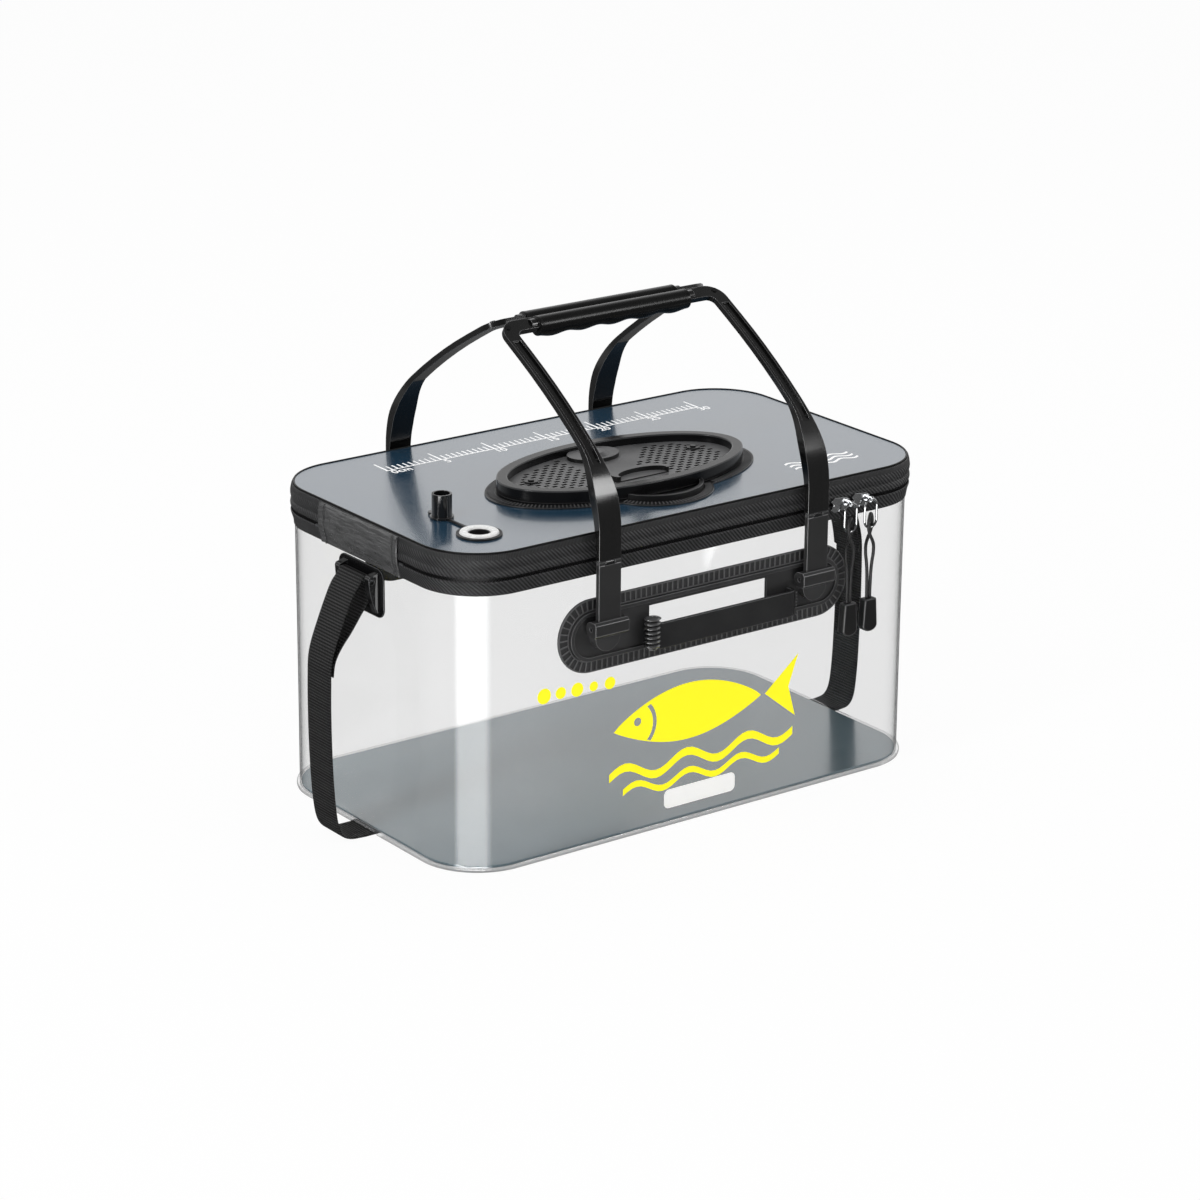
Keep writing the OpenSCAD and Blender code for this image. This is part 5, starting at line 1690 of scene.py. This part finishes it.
@dataclass
class FrontPrint:
    """A generic fish over waves, a bare patch and a row of bubbles, printed on the front wall."""

    outline: Outline
    ink: float = 0.15 * MM

    def build(self) -> None:
        """Makes the prints."""
        fish = [self.fish_body(), *self.fish_cuts(), self.fish_tail()]
        self.place_on_wall("fish_print", fish, Looks.YELLOW_INK)
        waves = [wave_strip(0, 50, 176, 6.5), wave_strip(0, 36, 150, 5.0)]
        self.place_on_wall("wave_print", waves, Looks.YELLOW_INK)
        patch = in_mm(rounded_loop(34, 7.6, 4.4))
        self.place_on_wall("bare_patch", [[(x - 2 * MM, y + 21 * MM) for x, y in patch]], Looks.WHITE_INK)
        bubbles = [ring_points(Vector(((-148 + 15 * k) * MM, (129 - 0.6 * k) * MM, 0)), r * MM, r * MM, 28)
                   for k, r in enumerate((6.0, 4.6, 5.4, 3.8, 4.8))]
        self.place_on_wall("bubble_print", bubbles, Looks.YELLOW_INK)

    def place_on_wall(self, name: str, outlines: Sequence[Sequence[Point2]], finish: Finish) -> None:
        """Stands a flat print on the front wall's face.

        Args:
            name: The piece's name.
            outlines: The print's outlines.
            finish: Its ink.
        """
        mesh = flat_solid(name, outlines, self.ink, 0.0)
        mesh.transform(Matrix.Rotation(math.radians(90), 4, "X"))
        mesh.transform(Matrix.Translation((0, -self.outline.half_w - self.ink / 2, 0)))
        piece(name, mesh, finish, Body.TUB)

    def fish_body(self) -> list[Point2]:
        """The fish's body: two arcs that meet at the nose and at the tail.

        Returns:
            The outline.
        """
        steps, nose, length, middle, rise = 30, -84.0, 140.0, 86.0, 25.0
        upper = [(nose + length * k / steps, middle + rise * math.sin(math.pi * k / steps) ** 0.8)
                 for k in range(steps + 1)]
        lower = [(nose + length * k / steps, middle - 0.8 * rise * math.sin(math.pi * k / steps) ** 0.9)
                 for k in range(steps - 1, 0, -1)]
        return in_mm([*upper, *lower])

    def fish_cuts(self) -> list[list[Point2]]:
        """The eye and the gill slit.

        Returns:
            The two outlines.
        """
        eye = ring_points(Vector((-62 * MM, 90 * MM, 0)), 3.4 * MM, 3.4 * MM, 20)
        radius, y, steps = 22, 87, 10
        angles = [math.radians(-42 + 84 * k / steps) for k in range(steps + 1)]
        gill = [(-66 + radius * math.cos(a), y + radius * math.sin(a)) for a in angles]
        gill += [(-69.5 + radius * math.cos(a), y + 20 * math.sin(a)) for a in reversed(angles)]
        return [eye, in_mm(gill)]

    def fish_tail(self) -> list[Point2]:
        """The fish's forked tail."""
        return in_mm([(60, 86), (92, 112), (83, 87), (90, 62)])


# ------------------------------------------------------------------ side plates and handles


@dataclass
class Side(Assembly):
    """One long side: its plate, grab bar, links, handle and grip.

    The front has turn 1; the back has turn -1, which makes it the front turned half round.
    """

    name: str
    turn: int
    link: Body
    handle: Body
    plate_l: float = 273.0 * MM
    plate_h: float = 57.0 * MM
    plate_z: float = 168.0 * MM
    flange_w: float = 9.5 * MM
    flange_t: float = 1.35 * MM

    def build(self) -> None:
        """Makes every piece of the side."""
        refined(self.name + "_plate", 0.3 * MM, Looks.MATT, Body.TUB, "black_moulding")
        refined(self.name + "_grab_bar", 0.5 * MM, Looks.GRAB, Body.TUB, "soft_moulding")
        refined(self.name + "_links", 0.35 * MM, Looks.LEG, self.link, "handle_finish")
        refined(self.name + "_handle_frame", 0.35 * MM, Looks.HANDLE, self.handle, "handle_finish")
        dress(self.name + "_fold_pins", Looks.STEEL)
        dress(self.name + "_rivets", Looks.GLOSS)
        self.flange_ribs()
        self.grab_bar_ends()
        self.grip()

    def off(self) -> Vector:
        """The way off the side."""
        return Vector((0, -self.turn, 0))

    def on_side(self, x: float, out: float, z: float) -> Vector:
        """A point given by its length, its distance out from the wall and its height."""
        return Vector((self.turn * x, -self.turn * (self.outline.half_w + out), z))

    def flange_ribs(self) -> None:
        """The pocketed ribs round the plate's welded flange, with a lip at each of its edges."""
        size = (0.9 * MM, self.flange_w - 1.8 * MM, 1.8 * MM)
        name = self.name + "_flange_ribs"
        # The ribs and lips are in the lighter rib finish, a painted highlight on their ridges
        ribs = self.blocks.along(name, [self.stadium(self.flange_w * 0.5)], 4.9 * MM, size, Looks.RIB)
        for inset in (0.6 * MM, self.flange_w - 0.8 * MM):
            line = [p.place for p in self.stadium(inset)]
            join_into(ribs, lip_mesh(self.name + "_flange_lip", line, self.off(), 1.1 * MM, 0.8 * MM))
        piece(name, ribs, Looks.RIB, Body.TUB)

    def stadium(self, inset: float) -> list[PathPoint]:
        """A path round the plate's flange, set in from its edge.

        Args:
            inset: How far it is set in.

        Returns:
            The path.
        """
        radius, steps = self.plate_h / 2 - inset, 32
        reach = self.plate_l / 2 - self.plate_h / 2
        points = []
        for end in (1, -1):
            for a in (math.radians(-90 + 180 * k / steps) for k in range(steps + 1)):
                points.append(self.on_side(end * (reach + radius * math.cos(a)), self.flange_t,
                                           self.plate_z + end * radius * math.sin(a)))
        return [PathPoint(p, self.off()) for p in points]

    def grab_bar_ends(self) -> None:
        """The ribbed bend at one end of the grab bar and the notched edge at the other."""
        low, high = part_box(self.name + "_grab_bar")
        reach, middle = high.x - low.x, self.turn * (low.x + high.x) / 2
        out = (abs(low.y) if self.turn > 0 else high.y) - self.outline.half_w
        name = self.name + "_grab_bar_ribs"
        left, right, bend = middle - reach / 2 - 1.0 * MM, middle + reach / 2 - 2.0 * MM, out - 2.6 * MM
        path = self.upright(left, bend, low.z + 3.4 * MM, high.z + 4.4 * MM)
        size = (3.3 * MM, 14.5 * MM, 11.5 * MM)
        rings = self.beads.along(name, path, 3.2 * MM, size, Looks.BELLOWS, False)
        path = self.upright(left, bend, low.z + 1.2 * MM, high.z + 6.6 * MM)
        size = (3.3 * MM, 10.0 * MM, 8.0 * MM)
        caps = self.beads.along(name, path, reach, size, Looks.BELLOWS, False)
        path = self.upright(right, out - 0.2 * MM, low.z + 1.4 * MM, high.z - 1.2 * MM)
        size = (1.1 * MM, 1.6 * MM, 1.2 * MM)
        notches = self.blocks.along(name, path, 2.4 * MM, size, Looks.MATT, False)
        join_into(rings, caps, notches)
        rings.shade_smooth()
        rings.set_sharp_from_angle(angle=math.radians(60))
        piece(name, rings, Looks.BELLOWS, Body.TUB)

    def upright(self, x: float, out: float, low: float, high: float) -> list[list[PathPoint]]:
        """One upright path on the side, between two heights."""
        return [[PathPoint(self.on_side(x, out, z), self.off()) for z in (low, high)]]

    def grip(self) -> None:
        """The grip: round above, with five finger hollows below and a lip at each end."""
        low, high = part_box(self.name + "_grip")
        length, radius = high.x - low.x, (high.y - low.y) / 2
        centre_y, centre_z = (low.y + high.y) / 2, high.z - radius
        keel = centre_z - low.z - radius
        waves, stations, sides = 5, 150, 40
        lip_h, lip_at, lip_w, round_h, round_w = 0.6 * MM, 1.2 * MM, 1.1 * MM, 1.6 * MM, 0.5 * MM
        rows = []
        for along in (k / stations for k in range(stations + 1)):
            end = min(along, 1 - along) * length
            lip = lip_h * math.exp(-((end - lip_at) / lip_w) ** 2) - round_h * math.exp(-end / round_w)
            hollow = keel * (0.5 + 0.5 * math.cos(2 * math.pi * waves * along + math.pi)) - 0.4 * MM
            ring = []
            for a in (2 * math.pi * j / sides for j in range(sides)):
                under = max(0.0, -math.sin(a)) ** 2.2
                r = radius + min(lip, 0.0) + under * hollow + max(lip, 0.0) * 0.3
                y = centre_y + min(r, radius + 0.2 * MM) * math.cos(a)
                ring.append(Vector((low.x + length * along, y, centre_z + r * math.sin(a))))
            rows.append(ring)
        node = self.name + "_grip"
        mesh = grid_mesh(node, rows, False)
        piece(node + "_sleeve", mesh, Looks.GRIP, self.handle, [node])


def lip_mesh(name: str, line: list[Vector], up: Vector, width: float, height: float) -> bpy.types.Mesh:
    """A low rounded lip along a closed line on a surface.

    Args:
        name: The mesh's name.
        line: The line.
        up: The way off the surface.
        width: The lip's width.
        height: Its height.

    Returns:
        The mesh.
    """
    sunk = 0.2 * MM
    rows = []
    for i, point in enumerate(line):
        side = (line[(i + 1) % len(line)] - line[i - 1]).normalized().cross(up)
        rows.append([point - side * width / 2, point - side * width * 0.3 + up * height,
                     point + side * width * 0.3 + up * height, point + side * width / 2,
                     point + side * width / 2 - up * sunk, point - side * width / 2 - up * sunk])
    return grid_mesh(name, rows, True)


# ------------------------------------------------------------------ zip pulls


@dataclass
class Pull:
    """One zip pull: its slider, ring, cord and moulded tab."""

    letter: str
    slider: Body
    swing: Body
    cord_r: float = 1.3 * MM

    def build(self) -> None:
        """Makes every piece of the pull."""
        refined("slider_" + self.letter, 0.35 * MM, Looks.CHROME, self.slider, "bright_metal")
        dress("ring_" + self.letter, Looks.CHROME)
        tab = refined("tab_" + self.letter, 1.2 * MM, Looks.SOFT, self.swing, "soft_moulding")
        self.cord()

    def cord(self) -> None:
        """The cord: up from the tab, through the ring and down behind it.
        """
        route = [(1.5, 0, -57), (1.5, 0, -52), (1.6, -.1, -44), (1.7, -.3, -36), (2.2, -.6, -28),
                 (2.8, -1.2, -21), (2.2, -1.9, -14), (0, -2.5, -9), (-2.4, -2.9, -5), (-4, -3, 0),
                 (-4.1, -2.7, 5), (-2.6, -1.8, 9.2), (0, 0, 11), (2.6, 1.8, 9.2), (4.1, 2.7, 5),
                 (4, 3, 0), (2.4, 2.9, -5), (0, 2.5, -9), (-2.2, 1.9, -14), (-2.8, 1.2, -21),
                 (-2.2, .6, -28), (-1.7, .3, -36), (-1.6, .1, -44), (-1.5, 0, -52), (-1.5, 0, -57)]
        low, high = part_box("ring_" + self.letter)
        wire = 0.9 * MM
        foot = Vector(((low.x + high.x) / 2, (low.y + high.y) / 2, low.z + wire))
        line = [foot + p * MM for p in catmull(route, 6)]
        name = "pull_cord_" + self.letter
        made = piece(name, tube_mesh(name, line, self.cord_r), Looks.CORD, self.swing,
                     ["cord_" + self.letter])
        running(line, False)[-1]


# ------------------------------------------------------------------ studio


@dataclass
class Studio:
    """The camera of the photograph, a pale floor and soft lights."""

    focal_px: float = 3837.837
    frame_px: float = 1200.0
    sensor: float = 36.0
    place: Vector = field(default_factory=lambda: Vector((-1.6829, -2.2556, 1.1157)))
    right: Vector = field(default_factory=lambda: Vector((0.8035, -0.5953, 0.0073)))
    upward: Vector = field(default_factory=lambda: Vector((0.1899, 0.2679, 0.9446)))

    def camera(self) -> None:
        """Stands the camera where the photograph was taken."""
        data = bpy.data.cameras.new("camera")
        data.sensor_width = self.sensor
        data.lens = self.focal_px / self.frame_px * self.sensor
        data.clip_start, data.clip_end = 0.05, 60.0
        made = linked("camera", data)
        right = self.right.normalized()
        upward = (self.upward - self.upward.dot(right) * right).normalized()
        turn = Matrix((right, upward, right.cross(upward))).transposed().to_4x4()
        made.matrix_world = Matrix.Translation(self.place) @ turn
        bpy.context.scene.camera = made

    def world(self) -> None:
        """White to the eye, brighter behind the object than in front of it in reflections."""
        world = bpy.data.worlds.new("studio")
        world.use_nodes = True
        bpy.context.scene.world = world
        graph = Graph(world.node_tree)
        seen = graph.seen()
        gloss = Value(graph, graph.node("ShaderNodeLightPath").outputs["Is Glossy Ray"])
        x, y, z = graph.axes("Generated")
        away_x, away_y, spread = 0.5976, 0.8025, 0.5
        behind = (x * away_x + y * away_y).above(-0.25, 0.3) * z.above(-0.15, 0.1)
        around = (x * -1.0).math("ARCTAN2", y * -1.0)
        low = z.above(-0.50, -0.42) * (1 - z.above(-0.24, -0.14))
        strip = around.above(0.15, 0.45) * (1 - around.above(1.15, 1.4)) * low
        overhead = 1 - z.above(0.5, 0.8) * 0.85
        mirrored = (behind * 0.8 + 0.14) * overhead + strip * 8.0
        level = seen + (1 - seen) * (gloss * mirrored + (1 - gloss) * spread)
        background = graph.node("ShaderNodeBackground", {}, {"Color": (1.0, 1.0, 1.0), "Strength": level})
        graph.surface(background.outputs[0])

    def floor(self) -> None:
        """A wide white floor that keeps a faint shadow."""
        half, sunk, pale = 14.0, 0.05 * MM, 0.95
        corners = [(-half, -half, -sunk), (half, -half, -sunk), (half, half, -sunk), (-half, half, -sunk)]
        mesh = bpy.data.meshes.new("floor_plane")
        mesh.from_pydata(corners, [], [(0, 1, 2, 3)])
        made = linked("studio_floor", mesh)
        paper = bpy.data.materials.new("studio_paper")
        paper.use_nodes = True
        graph = Graph(paper.node_tree)
        plain = graph.node("ShaderNodeBsdfDiffuse", {}, {"Color": (0.9, 0.9, 0.9)}).outputs[0]
        bright = graph.node("ShaderNodeEmission", {}, {"Color": (1.0, 1.0, 1.0)}).outputs[0]
        graph.surface(graph.mixed(graph.seen() * pale, plain, bright))
        mesh.materials.append(paper)
        made.visible_glossy = False

    def lamp(self, name: str, place: tuple[float, float, float], aim: tuple[float, float, float],
             size: tuple[float, float], power: float, shows: bool = False) -> None:
        """An area lamp.

        Args:
            name: Its name.
            place: Where it stands.
            aim: What it faces.
            size: Its width and height.
            power: Its power in watts.
            shows: Whether it shows in reflections.
        """
        data = bpy.data.lights.new(name, "AREA")
        data.shape = "RECTANGLE"
        data.size, data.size_y = size
        data.energy = power
        made = linked(name, data)
        made.location = place
        made.rotation_euler = (Vector(aim) - Vector(place)).to_track_quat("-Z", "Y").to_euler()
        made.visible_camera = False
        made.visible_glossy = shows

    def build(self) -> None:
        """Sets the studio up."""
        self.camera()
        self.world()
        self.floor()
        centre = (0.0, 0.0, 0.15)
        self.lamp("key", (-2.6, -0.5, 2.1), centre, (0.5, 1.8), 34.0, True)
        self.lamp("top", (0.3, 0.3, 3.0), centre, (2.4, 2.4), 26.0)
        self.lamp("fill", (1.6, -2.4, 1.6), centre, (0.5, 0.9), 12.0, True)
        bpy.context.scene.view_settings.view_transform = "Standard"


# ------------------------------------------------------------------ all together


def main() -> None:
    """Builds the studio, then the bucket from the pulls to the handles."""
    logging.basicConfig(level=logging.INFO, format="%(message)s")
    Studio().build()
    Pull("a", Body.LEFT_SLIDER, Body.LEFT_PULL).build()
    Pull("b", Body.RIGHT_SLIDER, Body.RIGHT_PULL).build()
    outline = wall_outline()
    blocks, beads = Repeater(Form.BLOCK), Repeater(Form.BEAD)
    Tub(outline, blocks, beads).build()
    Lid(outline, blocks, beads).build()
    FrontPrint(outline).build()
    Side(outline, blocks, beads, "front", 1, Body.FRONT_LINK, Body.FRONT_HANDLE).build()
    Side(outline, blocks, beads, "back", -1, Body.BACK_LINK, Body.BACK_HANDLE).build()


if __name__ == "__main__":
    main()
